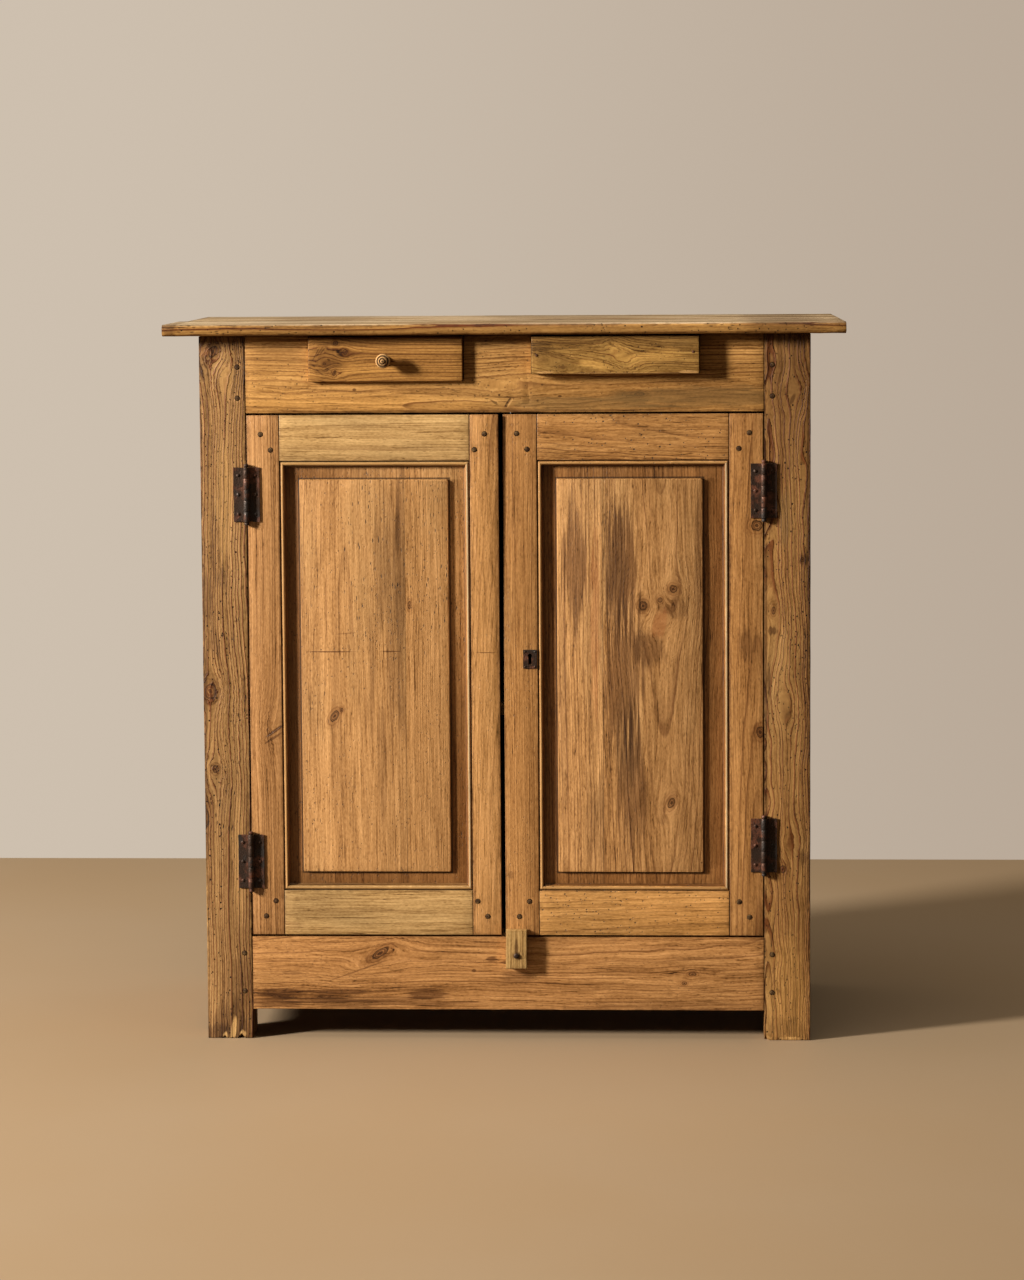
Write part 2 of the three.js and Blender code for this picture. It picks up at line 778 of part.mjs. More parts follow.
// Post leaves and pins of the four hinges, and the door leaves in the groups of the doors
function addHinges(carcass, doors) {
  for (const [side, sign] of Object.entries(sideSigns)) {
    for (const [level, height] of Object.entries(hingeHeights[side])) {
      const place = new THREE.Vector3(sign * hingeAxisX, hingeAxisY, height);
      const names = [`hinge_post_leaf_${side}_${level}`, `hinge_pin_${side}_${level}`];
      const solids = [hingeLeaf(sign, 0), hingePin()];
      names.forEach((name, i) => addPiece(carcass, name, solids[i], finishes.iron).position.copy(place));
      const leafName = `hinge_door_leaf_${side}_${level}`;
      const doorLeaf = addPiece(doors[side], leafName, hingeLeaf(-sign, 1), finishes.iron);
      doorLeaf.position.copy(place).sub(doors[side].position);
    }
  }
}

// Section of the moulding and the groove behind it, as u across the edge and y into the thickness
function mouldingSection() {
  const points = [[-cutOverrun, 0], [0, 0], [0, quirkDepth], [quirkWidth, quirkDepth]];
  for (let i = 0; i <= mouldingSteps; i += 1) {
    const angle = (Math.PI / 2) * (i / mouldingSteps);
    points.push([
      quirkWidth + (mouldingWidth - quirkWidth) * Math.sin(angle),
      mouldingDepth - (mouldingDepth - mouldingDrop) * Math.cos(angle),
    ]);
  }
  points.push(
    [mouldingWidth - grooveDepth, mouldingDepth],
    [mouldingWidth - grooveDepth, mouldingDepth + grooveWidth],
    [mouldingWidth, mouldingDepth + grooveWidth],
    [mouldingWidth, doorThickness],
    [-cutOverrun, doorThickness],
  );
  return points;
}

// Strip of moulding with mitred ends, laid along an edge of a frame piece.
// The place function turns u across, y deep and p along into x, y, z.
function mitredStrip(length, place) {
  const shape = new THREE.Shape(mouldingSection().map(([u, y]) => new THREE.Vector2(u, y)));
  const geometry = new THREE.ExtrudeGeometry(shape, { depth: length, bevelEnabled: false });
  const positions = geometry.attributes.position;
  const corner = new THREE.Vector3();
  const placed = [];
  for (let i = 0; i < positions.count; i += 1) {
    corner.fromBufferAttribute(positions, i);
    const mitre = Math.max(corner.x, 0) + fitGap;
    const along = corner.z > length / 2 ? length - mitre : mitre;
    placed.push(new THREE.Vector3(...place(corner.x, corner.y, along)));
  }
  const origin = new THREE.Vector3(...place(0, 0, 0));
  const across = new THREE.Vector3(...place(1, 0, 0)).sub(origin);
  const deep = new THREE.Vector3(...place(0, 1, 0)).sub(origin);
  const along = new THREE.Vector3(...place(0, 0, 1)).sub(origin);
  const mirrored = across.cross(deep).dot(along) < 0;
  for (let i = 0; i < placed.length; i += 3) {
    const order = mirrored ? [0, 2, 1] : [0, 1, 2];
    order.forEach((from, to) => positions.setXYZ(i + to, ...placed[i + from].toArray()));
  }
  return toSolid(geometry);
}

// Frame pieces and panel of one door, in a frame whose origin is the door's lower left front corner
function doorPieces(door) {
  const { width, leftStile, rightStile, leftMargin, rightMargin } = door;
  const innerLeft = leftStile;
  const innerRight = width - rightStile;
  const innerBottom = doorBottomRail;
  const innerTop = doorHeight - doorTopRail;
  const stripHeight = innerTop - innerBottom;
  const stripWidth = innerRight - innerLeft;
  const rails = { bottom: [0, innerBottom], top: [innerTop, doorHeight] };
  const stiles = { left: [0, innerLeft], right: [innerRight, width] };

  // Corner pegs, as places on the face of the door
  const farEdge = Math.min(doorPegFarEdge, leftStile - pegRadius * 2, rightStile - pegRadius * 2);
  const pegPlaces = (edge, way, end, rail) => [
    [edge + way * doorPegNearEdge, end + rail * doorPegNearEndShare],
    [edge + way * farEdge, end + rail * doorPegFarEndShare],
  ];
  const pegsOfRail = {
    bottom: {
      left: pegPlaces(0, 1, 0, doorBottomRail),
      right: pegPlaces(width, -1, 0, doorBottomRail),
    },
    top: {
      left: pegPlaces(0, 1, doorHeight, -doorTopRail),
      right: pegPlaces(width, -1, doorHeight, -doorTopRail),
    },
  };
  const strips = {
    left: mitredStrip(stripHeight, (u, y, p) => [innerLeft + u, y, innerBottom + p]),
    right: mitredStrip(stripHeight, (u, y, p) => [innerRight - u, y, innerBottom + p]),
    bottom: mitredStrip(stripWidth, (u, y, p) => [innerLeft + p, y, innerBottom + u]),
    top: mitredStrip(stripWidth, (u, y, p) => [innerLeft + p, y, innerTop - u]),
  };
  const pegEnd = doorThickness - doorPegEndWall;
  const pieces = {};
  for (const [side, [x0, x1]] of Object.entries(stiles)) {
    const toInner = side === 'left' ? 1 : -1;
    const inner = side === 'left' ? x1 : x0;
    const outer = side === 'left' ? x0 : x1;
    const cuts = [];
    for (const [level, [z0, z1]] of Object.entries(rails)) {
      cuts.push(block(
        outer + toInner * doorTenonEndWall, inner + toInner * cutOverrun,
        doorTenonFront - fitGap, doorTenonFront + doorTenonThickness + fitGap,
        z0 + doorTenonShoulder - fitGap, z1 - doorTenonShoulder + fitGap,
      ));
      for (const [x, z] of pegsOfRail[level][side]) {
        cuts.push(rodAlongY(x, z, -cutOverrun, pegEnd + fitGap, pegRadius + pegGap, pegSides));
      }
    }
    const body = block(x0, x1, 0, doorThickness, 0, doorHeight);
    pieces[`stile_${side}`] = worked(body, [strips[side]], cuts);
  }
  for (const [level, [z0, z1]] of Object.entries(rails)) {
    const joins = [strips[level]];
    for (const [side, edge, way] of [['left', 0, 1], ['right', width, -1]]) {
      const shoulder = side === 'left' ? innerLeft : innerRight;
      joins.push(block(
        edge + way * (doorTenonEndWall + fitGap), shoulder + way * (fitGap + cutOverrun),
        doorTenonFront, doorTenonFront + doorTenonThickness,
        z0 + doorTenonShoulder, z1 - doorTenonShoulder,
      ));
      for (const [x, z] of pegsOfRail[level][side]) {
        joins.push(rodAlongY(x, z, 0, pegEnd, pegRadius, pegSides));
      }
    }
    const body = block(innerLeft + fitGap, innerRight - fitGap, 0, doorThickness, z0, z1);
    pieces[`rail_${level}`] = worked(body, joins, []);
  }

  // Panel: a thin edge held in the grooves and a raised field with sloped sides
  const sightLeft = innerLeft + mouldingWidth;
  const sightRight = innerRight - mouldingWidth;
  const sightBottom = innerBottom + mouldingWidth;
  const sightTop = innerTop - mouldingWidth;
  const tongue = grooveDepth - fitGap;
  const edge = block(
    sightLeft - tongue, sightRight + tongue,
    panelFront, panelFront + panelEdgeThickness,
    sightBottom - tongue, sightTop + tongue,
  );
  const field = raisedField(
    sightLeft + leftMargin, sightRight - rightMargin,
    sightBottom + fieldBottomMargin, sightTop - fieldTopMargin,
  );
  pieces.panel = worked(edge, [field], []);
  return pieces;
}

// Raised field of a panel, a block whose front is smaller by the slope all round
function raisedField(x0, x1, z0, z1) {
  const front = panelFront - fieldRise;
  const back = panelFront + panelEdgeThickness / 2;
  const geometry = new THREE.BoxGeometry(x1 - x0, back - front, z1 - z0);
  geometry.translate((x0 + x1) / 2, (front + back) / 2, (z0 + z1) / 2);
  const positions = geometry.attributes.position;
  const middleX = (x0 + x1) / 2;
  const middleY = (front + back) / 2;
  const middleZ = (z0 + z1) / 2;
  for (let i = 0; i < positions.count; i += 1) {
    if (positions.getY(i) < middleY) {
      positions.setX(i, positions.getX(i) - fieldSlope * Math.sign(positions.getX(i) - middleX));
      positions.setZ(i, positions.getZ(i) - fieldSlope * Math.sign(positions.getZ(i) - middleZ));
    }
  }
  return toSolid(geometry);
}

// Keyhole as a cutting solid: a round bow above a slot
function keyhole(y0, y1) {
  const bowZ = keyholeHeight + keyholeBowRise;
  return worked(
    rodAlongY(keyholeFromEdge, bowZ, y0, y1, keyholeBowRadius, pegSides),
    [block(
      keyholeFromEdge - keyholeSlotWidth / 2, keyholeFromEdge + keyholeSlotWidth / 2,
      y0, y1, keyholeHeight - keyholeSlotDrop, bowZ,
    )],
    [],
  );
}

// Places of the four small nails of the escutcheon
function escutcheonNails() {
  const places = [];
  for (const dx of [-1, 1]) {
    for (const dz of [-1, 1]) {
      places.push([
        keyholeFromEdge + dx * (escutcheonWidth / 2 - escutcheonNailInset),
        keyholeHeight + dz * (escutcheonHeight / 2 - escutcheonNailInset),
      ]);
    }
  }
  return places;
}

// Escutcheon plate with its nails
function escutcheon() {
  const front = -fitGap - escutcheonThickness;
  const plate = block(
    keyholeFromEdge - escutcheonWidth / 2, keyholeFromEdge + escutcheonWidth / 2, front, -fitGap,
    keyholeHeight - escutcheonHeight / 2, keyholeHeight + escutcheonHeight / 2,
  );
  const joins = [];
  for (const [x, z] of escutcheonNails()) {
    const head = front - escutcheonNailHeadHeight;
    joins.push(rodAlongY(x, z, head, -fitGap, escutcheonNailHeadRadius, nailSides));
    joins.push(rodAlongY(x, z, front, escutcheonNailLength, escutcheonNailRadius, nailSides));
  }
  return worked(plate, joins, [keyhole(front - cutOverrun, cutOverrun)]);
}

// Lock case: an iron box, open towards the door, with a slot for the bolt in its edge
function lockCase() {
  const x0 = lockCaseEdgeInset;
  const x1 = keyholeFromEdge + lockCasePastKeyhole;
  const y1 = lockCaseFront + lockCaseDepth;
  const shell = block(x0, x1, lockCaseFront, y1, lockCaseFoot, lockCaseTop);
  const hollow = block(
    x0 + lockWall, x1 - lockWall, lockCaseFront - cutOverrun, y1 - lockWall,
    lockCaseFoot + lockWall, lockCaseTop - lockWall,
  );
  const slot = block(
    x0 - cutOverrun, x0 + lockWall + cutOverrun,
    boltFront - fitGap, boltFront + boltThickness + fitGap,
    boltUnderside - fitGap, boltUnderside + boltHeight + fitGap,
  );
  return worked(shell, [], [hollow, slot]);
}

// Bolt of the lock, withdrawn into the case, with a notch that the key works in
function lockBolt() {
  const caseEnd = keyholeFromEdge + lockCasePastKeyhole - lockWall * 2;
  const x1 = Math.min(lockCaseEdgeInset + boltTail + lockWall, caseEnd);
  const bar = block(
    lockCaseEdgeInset - lockWall, x1,
    boltFront, boltFront + boltThickness,
    boltUnderside, boltUnderside + boltHeight,
  );
  const notchWidth = boltTail * boltNotchWidthShare;
  const notch = block(
    x1 - notchWidth * 2, x1 - notchWidth,
    boltFront - cutOverrun, boltFront + boltThickness + cutOverrun,
    boltUnderside - cutOverrun, boltUnderside + boltHeight * boltNotchHeightShare,
  );
  return worked(bar, [], [notch]);
}

// Sizes of the two doors
const doorSpecs = {
  left: {
    start: leftDoorStart,
    width: leftDoorWidth,
    leftStile: leftDoorHingeStile,
    rightStile: leftDoorMeetingStile,
    leftMargin: leftFieldHingeMargin,
    rightMargin: leftFieldMeetingMargin,
    hingeStile: 'stile_left',
    hingeEdge: 0,
    inward: 1,
    names: { stile_left: 'hinge_stile_left_door', stile_right: 'meeting_stile_left_door' },
  },
  right: {
    start: rightDoorStart,
    width: rightDoorWidth,
    leftStile: rightDoorMeetingStile,
    rightStile: rightDoorHingeStile,
    leftMargin: rightFieldMeetingMargin,
    rightMargin: rightFieldHingeMargin,
    hingeStile: 'stile_right',
    hingeEdge: rightDoorWidth,
    inward: -1,
    names: { stile_left: 'lock_stile_right_door', stile_right: 'hinge_stile_right_door' },
  },
};

// Finish of each piece of a door
const doorFinishes = {
  stile_left: finishes.frame,
  stile_right: finishes.frame,
  rail_top: finishes.paleRail,
  rail_bottom: finishes.paleRail,
  panel: finishes.panel,
};

// One door, with the nail holes of its hinge leaves, and the lock on the right one
function addDoor(group, side) {
  const door = doorSpecs[side];
  const pieces = doorPieces(door);
  const heights = Object.values(hingeHeights[side]).map((height) => height - doorFoot);
  const axisX = door.hingeEdge - door.inward * doorHingeGap / 2;
  const nailHoles = hingeNailHoles(axisX, door.inward, heights);
  for (const key of [door.hingeStile, 'rail_top', 'rail_bottom']) {
    pieces[key] = worked(pieces[key], [], nailHoles);
  }
  if (side === 'right') {
    const cuts = escutcheonNails().map(([x, z]) => rodAlongY(
      x, z, -cutOverrun, escutcheonNailLength + fitGap, escutcheonNailRadius + fitGap, nailSides,
    ));
    cuts.push(keyhole(-cutOverrun, doorThickness + cutOverrun));
    pieces.stile_left = worked(pieces.stile_left, [], cuts);
    addPiece(group, 'escutcheon', escutcheon(), finishes.iron);
    addPiece(group, 'lock_case', lockCase(), finishes.iron);
    addPiece(group, 'lock_bolt', lockBolt(), finishes.iron);
  }
  for (const [key, solid] of Object.entries(pieces)) {
    addPiece(group, door.names[key] ?? `${key}_${side}_door`, solid, doorFinishes[key]);
  }
}

// Turn button, a chamfered block around its pivot, and the nail in the bottom rail
function addButton(group) {
  const back = -fitGap;
  const front = back - buttonThickness;
  const halfButton = buttonWidth / 2;
  const low = -buttonPivotRise;
  const high = buttonHeight - buttonPivotRise;
  const shape = new THREE.Shape([
    new THREE.Vector2(-halfButton + buttonChamfer, low + buttonChamfer),
    new THREE.Vector2(halfButton - buttonChamfer, low + buttonChamfer),
    new THREE.Vector2(halfButton - buttonChamfer, high - buttonChamfer),
    new THREE.Vector2(-halfButton + buttonChamfer, high - buttonChamfer),
  ]);
  const geometry = new THREE.ExtrudeGeometry(shape, {
    depth: buttonThickness - buttonChamfer * 2,
    bevelThickness: buttonChamfer,
    bevelSize: buttonChamfer,
    bevelSegments: 1,
  });
  geometry.rotateX(Math.PI / 2);
  geometry.translate(0, back - buttonChamfer, 0);
  const boreRadius = buttonNailRadius + buttonNailGap;
  const bore = rodAlongY(0, 0, front - cutOverrun, cutOverrun, boreRadius, knuckleSides);
  const button = addPiece(group, 'turn_button', worked(toSolid(geometry), [], [bore]), finishes.button);
  button.position.set(buttonPivotX, 0, buttonPivotZ);

  const head = front - fitGap;
  const nail = worked(
    rodAlongY(0, 0, head, head + buttonNailLength, buttonNailRadius, knuckleSides),
    [rodAlongY(0, 0, head - buttonNailHeadHeight, head, buttonNailHeadRadius, knuckleSides)],
    [],
  );
  addPiece(group, 'turn_button_nail', nail, finishes.iron).position.set(buttonPivotX, 0, buttonPivotZ);
}

// Outline of the knob from the end of its shank to its tip, as radius and distance along
function knobOutline(shankLength) {
  const turned = knobTurningShares.map(([radiusShare, alongShare]) => [
    knobRadius * radiusShare, fitGap + shankLength + (knobProjection - fitGap) * alongShare,
  ]);
  return [[0, 0], [knobShankRadius, 0], [knobShankRadius, fitGap + shankLength], ...turned];
}

// Knob with its shank through the drawer front, pointing to the front
function knobSolid(shankLength) {
  const points = knobOutline(shankLength).map(([radius, along]) => new THREE.Vector2(radius, along));
  const geometry = new THREE.LatheGeometry(points, knobSides);
  geometry.rotateX(Math.PI);
  geometry.translate(0, shankLength, 0);
  return toSolid(geometry);
}

// One drawer: front, two grooved sides, back, bottom, and the knob on the left one
function addDrawer(group, side) {
  const drawer = drawers[side];
  const { x0, x1, height, proud } = drawer;
  const z0 = bedTop(drawer) + fitGap;
  const z1 = z0 + height;
  const frontFace = -proud;
  const frontBack = frontFace + drawerFrontThickness;
  const sideTop = z1 - drawerSideHeadroom;
  const sideOuterLeft = x0 + drawerSideInset;
  const sideOuterRight = x1 - drawerSideInset;
  const innerLeft = sideOuterLeft + drawerSideThickness;
  const innerRight = sideOuterRight - drawerSideThickness;
  const boxBack = backRailFront - drawerStopGap;
  const backFront = boxBack - drawerBackThickness;
  const bottomZ = z0 + drawerBottomRise;
  const groove = block(
    innerLeft - drawerGroove, innerRight + drawerGroove,
    frontBack - drawerGroove, boxBack + cutOverrun,
    bottomZ - fitGap, bottomZ + drawerBottomThickness + fitGap,
  );
  const knobX = (x0 + x1) / 2 + knobBesideMiddle;
  const knobZ = (z0 + z1) / 2 + knobAboveMiddle;
  const frontCuts = [groove];
  if (side === 'left') {
    frontCuts.push(rodAlongY(
      knobX, knobZ, frontFace - cutOverrun, frontBack + cutOverrun,
      knobShankRadius + knobShankGap, knobSides,
    ));
    const knob = addPiece(group, 'drawer_knob_left', knobSolid(drawerFrontThickness), finishes.knob);
    knob.position.set(knobX, frontFace, knobZ);
  }
  const front = block(x0, x1, frontFace, frontBack, z0, z1);
  addPiece(group, `drawer_front_${side}`, worked(front, [], frontCuts), finishes.drawer);
  for (const [end, a, b] of [['a', sideOuterLeft, innerLeft], ['b', innerRight, sideOuterRight]]) {
    const board = block(a, b, frontBack + fitGap, boxBack, z0, sideTop);
    const name = `drawer_side_${side}_${end}`;
    addPiece(group, name, worked(board, [], [groove]), finishes.hiddenWood);
  }
  const back = block(
    innerLeft + fitGap, innerRight - fitGap, backFront, boxBack,
    bottomZ + drawerBottomThickness + fitGap, sideTop,
  );
  addPiece(group, `drawer_back_${side}`, back, finishes.hiddenWood);
  const tongue = drawerGroove - fitGap;
  const bottom = block(
    innerLeft - tongue, innerRight + tongue,
    frontBack - tongue, boxBack,
    bottomZ, bottomZ + drawerBottomThickness,
  );
  addPiece(group, `drawer_bottom_${side}`, bottom, finishes.hiddenWood);
}

// Assembly
const cupboard = new THREE.Group();
cupboard.name = 'cupboard';
cupboard.position.y = -(frontMost + topBackEdge) / 2;

const carcass = new THREE.Group();
const doors = { left: new THREE.Group(), right: new THREE.Group() };
const drawerGroups = { left: new THREE.Group(), right: new THREE.Group() };
cupboard.add(carcass, doors.left, doors.right, drawerGroups.left, drawerGroups.right);

addPosts(carcass);
addFriezeRail(carcass);
addBottomRail(carcass);
addSides(carcass);
addBack(carcass);
addShelves(carcass);
addTop(carcass);
addBeds(carcass);
for (const side of Object.keys(sideSigns)) {
  doors[side].position.set(doorSpecs[side].start, 0, doorFoot);
  addDoor(doors[side], side);
  addDrawer(drawerGroups[side], side);
}
addHinges(carcass, doors);
addButton(carcass);

export default cupboard;
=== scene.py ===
"""Pine cupboard with two panelled doors and two small drawers, finished round its fixed frame.

Metres, +Z up, the front faces -Y. Each operator makes one kind of piece, and main() calls them in order.
"""

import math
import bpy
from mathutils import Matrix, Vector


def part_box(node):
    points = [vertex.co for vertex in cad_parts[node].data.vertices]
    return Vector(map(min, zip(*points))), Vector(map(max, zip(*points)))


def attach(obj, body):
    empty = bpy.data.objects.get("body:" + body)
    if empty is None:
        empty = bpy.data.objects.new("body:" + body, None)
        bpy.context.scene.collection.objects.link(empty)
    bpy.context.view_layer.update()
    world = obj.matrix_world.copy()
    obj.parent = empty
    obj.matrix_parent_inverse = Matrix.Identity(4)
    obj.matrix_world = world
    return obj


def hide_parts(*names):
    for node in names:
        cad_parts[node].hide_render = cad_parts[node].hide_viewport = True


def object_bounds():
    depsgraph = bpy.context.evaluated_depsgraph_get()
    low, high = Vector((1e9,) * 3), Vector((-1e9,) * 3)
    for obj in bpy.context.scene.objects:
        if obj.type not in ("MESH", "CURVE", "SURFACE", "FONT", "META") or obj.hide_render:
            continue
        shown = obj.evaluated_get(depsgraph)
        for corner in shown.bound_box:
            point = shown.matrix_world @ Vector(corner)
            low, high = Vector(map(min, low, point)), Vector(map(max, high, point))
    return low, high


bl_info = {
    "name": "Pine cupboard",
    "version": (1, 0, 0),
    "blender": (4, 5, 0),
    "location": "3D View > Sidebar > Cupboard",
    "description": "Makes an old waxed pine cupboard with two doors and two small drawers",
    "category": "Add Mesh",
}

import bmesh
import bpy
from bpy.props import FloatProperty, FloatVectorProperty, IntProperty, PointerProperty
from mathutils import Matrix, Vector, noise

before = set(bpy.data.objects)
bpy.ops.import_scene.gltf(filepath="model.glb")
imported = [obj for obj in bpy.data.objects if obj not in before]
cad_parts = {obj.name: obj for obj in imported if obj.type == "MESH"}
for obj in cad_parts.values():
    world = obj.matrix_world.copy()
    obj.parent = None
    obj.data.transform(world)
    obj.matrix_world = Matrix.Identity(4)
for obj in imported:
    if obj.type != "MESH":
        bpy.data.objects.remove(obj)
CAD_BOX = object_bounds()

MM = 0.001
SIDES = ("left", "right")
LEVELS = ("upper", "lower")
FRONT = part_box("post_front_left")[0].y
POST_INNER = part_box("post_front_right")[0].x
TURNS = {"Z": (0, 0, 0), "X": (0, math.pi / 2, 0), "Y": (math.pi / 2, 0, 0)}

DOOR_THICKNESS = 24 * MM
FRONT_RAIL_THICKNESS = 26 * MM
PEG_CLEARANCE = 0.6 * MM
# Insets run from the edge of a post or a door, and shares run up or down the width of a rail
BODY_PEG_INSET = 13 * MM
BODY_PEG_SHARES = {"frieze_rail": (0.2, 0.6), "bottom_rail": (0.25, 0.77)}
DOOR_PEG_INSETS = (23 * MM, 40 * MM)
DOOR_PEG_SHARES = (0.42, 0.76)
# From the grooves to a panel's raised field, on the left, on the right, below and above
FIELD_MARGINS = {
    "left": (21 * MM, 25 * MM, 19 * MM, 20 * MM),
    "right": (21 * MM, 32 * MM, 19 * MM, 20 * MM),
}
KNUCKLES = 5
HINGE_NAIL_SPACING = 32 * MM

# Tones that multiply the wood below them
KNOT_HALO = (0.6, 0.49, 0.4)
KNOT_RINGS = (0.5, 0.38, 0.3)
STAIN_AND_SHADE_TONE = (0.34, 0.28, 0.245)
GRIMY = (0.36, 0.3, 0.26)
# The next two tones paint shade, with grime, in the sunk parts of the door frames and in the sunk margins
# round the raised fields
FRAME_RECESS_DIRT_AND_SHADE = (0.35, 0.27, 0.2)
PANEL_RECESS_DIRT_AND_SHADE = {"left": (0.48, 0.4, 0.31), "right": (0.6, 0.51, 0.41)}
# Darker tone for the front, ends and underside of the top: partly the wood's own colour, partly painted
# shade that leaves the upper face lighter as if lit from above
TOP_SIDES_TONE_AND_SHADE = (0.78, 0.53, 0.23)


# Colours and sizes that a user would change

def tone(name, description, red, green, blue):
    """A colour property whose default is given as screen values from 0 to 255."""
    return FloatVectorProperty(
        name=name, description=description, subtype="COLOR", size=3, min=0, max=1,
        default=[linear(value) for value in (red, green, blue)],
    )


def linear(value):
    """Linear value of a screen value from 0 to 255."""
    share = value / 255
    return share / 12.92 if share <= 0.04045 else ((share + 0.055) / 1.055) ** 2.4


def size(name, description, default):
    """A length property in metres."""
    return FloatProperty(name=name, description=description, default=default, min=0, unit="LENGTH")


class CupboardTones(bpy.types.PropertyGroup):
    """Colours of the woods and of the iron."""

    left_post: tone("Left post", "Ridged post on the left", 158, 121, 75)
    right_post: tone("Right post", "Darker post on the right", 151, 111, 63)
    frieze: tone("Frieze", "Rail that holds the drawers", 185, 137, 77)
    bottom_rail: tone("Bottom rail", "Rail between the feet", 187, 136, 83)
    left_stile: tone("Left door stiles", "Pinkish stiles of the left door", 182, 134, 85)
    left_rail: tone("Left door rails", "Pale rails of the left door", 196, 159, 106)
    left_panel: tone("Left panel", "Honey coloured panel", 187, 140, 89)
    right_stile: tone("Right door stiles", "Stiles of the right door", 178, 129, 77)
    right_rail: tone("Right door rails", "Rails of the right door", 195, 143, 85)
    right_panel: tone("Right panel", "Stained panel", 190, 142, 90)
    top: tone("Top", "Boards of the top", 190, 170, 141)
    left_drawer: tone("Left drawer", "Front of the left drawer", 169, 122, 63)
    right_drawer: tone("Right drawer", "Front of the right drawer", 163, 125, 66)
    inside: tone("Inside", "Unwaxed wood inside and behind", 176, 136, 88)
    side: tone("Sides", "Rails and panels of the sides", 152, 110, 64)
    late_wood: tone("Late wood", "Dark line of a growth ring", 104, 60, 26)
    grey_wood: tone("Grey wood", "Weathered patches", 132, 106, 66)
    # This pale tone also paints a highlight on the crest of the beads that do not face the side light
    bare_wood: tone("Bare wood", "Pale wood where a splinter is lost", 222, 178, 116)
    # Painted highlight on the crest of the beads that face the side light
    bead_highlight: tone("Worn bead", "Polished crest of a moulding that faces the side light", 250, 226, 182)
    red_wood: tone("Red wood", "Reddish wood round a knot", 176, 104, 58)
    # On the right drawer this tone also paints a highlight where the front catches the light
    gold_wood: tone("Gold wood", "Bright yellow wood where the wax is thin", 226, 176, 98)
    knot: tone("Knot", "Heart of a knot", 84, 46, 24)
    # This tone also paints shade: in the quirks of the mouldings, at the foot of the raised fields and in
    # the knob's grooves
    dirt_and_shade: tone("Dirt", "Dirt in holes, dents and joints", 40, 24, 12)
    peg: tone("Peg", "End grain of the pegs", 56, 34, 18)
    knob: tone("Knob", "Turned knob", 196, 154, 104)
    button: tone("Turn button", "Turn button under the right door", 181, 146, 93)
    iron: tone("Iron", "Old iron of the hinges and the lock", 66, 49, 40)
    rust: tone("Rust", "Rust on the iron", 112, 64, 42)


class CupboardSizes(bpy.types.PropertyGroup):
    """Sizes of the wear, the mouldings and the small pieces."""

    ease: size("Eased edges", "Width of the worn edges of a board", 1.1 * MM)
    wear: size("Wear", "Depth that the surface of a board wanders", 0.7 * MM)
    rows: size("Rows", "Spacing of the cross cuts that let a board wander", 22 * MM)
    inner_ease: size("Inner edges", "Width of the worn edges inside the cupboard", 0.7 * MM)
    joint_gap: size("Joint gap", "Gap between two pieces of a frame", 0.3 * MM)
    moulding_width: size("Moulding width", "Width of the moulding round the panels", 10.5 * MM)
    moulding_depth: size("Moulding depth", "Depth of the moulding in front of the groove", 10.5 * MM)
    moulding_drop: size("Moulding drop", "Step from the frame down to the moulding", 0.2 * MM)
    quirk_width: size("Quirk width", "Width of the sunk line beside the moulding", 1.7 * MM)
    quirk_depth: size("Quirk depth", "Depth of the sunk line beside the moulding", 3 * MM)
    bead_radius: size("Bead radius", "Radius of the bead of the moulding", 2.9 * MM)
    groove_width: size("Groove width", "Width of the groove that holds a panel", 6.5 * MM)
    field_rise: size("Field rise", "Rise of the raised field of a panel", 5.5 * MM)
    field_slope: size("Field slope", "Slope of the edges of the raised field", 1.2 * MM)
    tongue: size("Panel tongue", "Width of a panel's edge inside the grooves", 6.7 * MM)
    peg_radius: size("Peg radius", "Radius of the pegs", 4 * MM)
    peg_rise: size("Peg rise", "Height of a peg above the face", 0.5 * MM)
    winding: size("Winding", "How far the left door's free corner stands out at the top", 6.5 * MM)
    nail_head: size("Nail head", "Radius of the nail heads of the hinges", 3 * MM)
    knuckle_radius: size("Knuckle radius", "Radius of the barrel of a hinge", 5 * MM)
    leaf_thickness: size("Leaf thickness", "Thickness of a hinge leaf", 2.5 * MM)
    nose_radius: size("Nose radius", "Rounding of the front edge of the top", 8 * MM)


class CupboardStage(bpy.types.PropertyGroup):
    """Camera, lights and floor."""

    camera_place: FloatVectorProperty(
        name="Camera place", description="Where the camera stands", subtype="TRANSLATION",
        size=3, default=(0.235, -5.477, 1.350),
    )
    camera_yaw: FloatProperty(
        name="Yaw", description="Turn of the camera to the left", subtype="ANGLE",
        default=math.radians(2.41),
    )
    camera_pitch: FloatProperty(
        name="Pitch", description="Tilt of the camera down", subtype="ANGLE",
        default=math.radians(4.61),
    )
    camera_roll: FloatProperty(
        name="Roll", description="Lean of the camera", subtype="ANGLE",
        default=math.radians(-0.37),
    )
    lens: FloatProperty(name="Lens", description="Focal length in millimetres", default=91, min=1)
    shift: FloatProperty(name="Shift", description="Vertical shift of the lens", default=-0.12)
    key_power: FloatProperty(name="Key power", description="Power of the side light", default=940, min=0)
    fill_strength: FloatProperty(
        name="Fill", description="Strength of the soft light", default=0.075, min=0,
    )
    key_tone: tone("Key tone", "Colour of the side light", 255, 244, 226)
    fill_tone: tone("Fill tone", "Colour of the soft light", 250, 232, 204)
    top_power: FloatProperty(name="Top power", description="Power of the light above", default=85, min=0)
    backdrop_left: tone("Backdrop left", "Colour behind the floor on the left", 206, 192, 175)
    backdrop_right: tone("Backdrop right", "Colour behind the floor on the right", 184, 168, 151)
    floor: tone("Floor", "Pale floor", 158, 136, 110)
    floor_bounce: tone("Floor bounce", "Colour of the light that the floor sends up", 104, 82, 56)


# Selecting and shaping

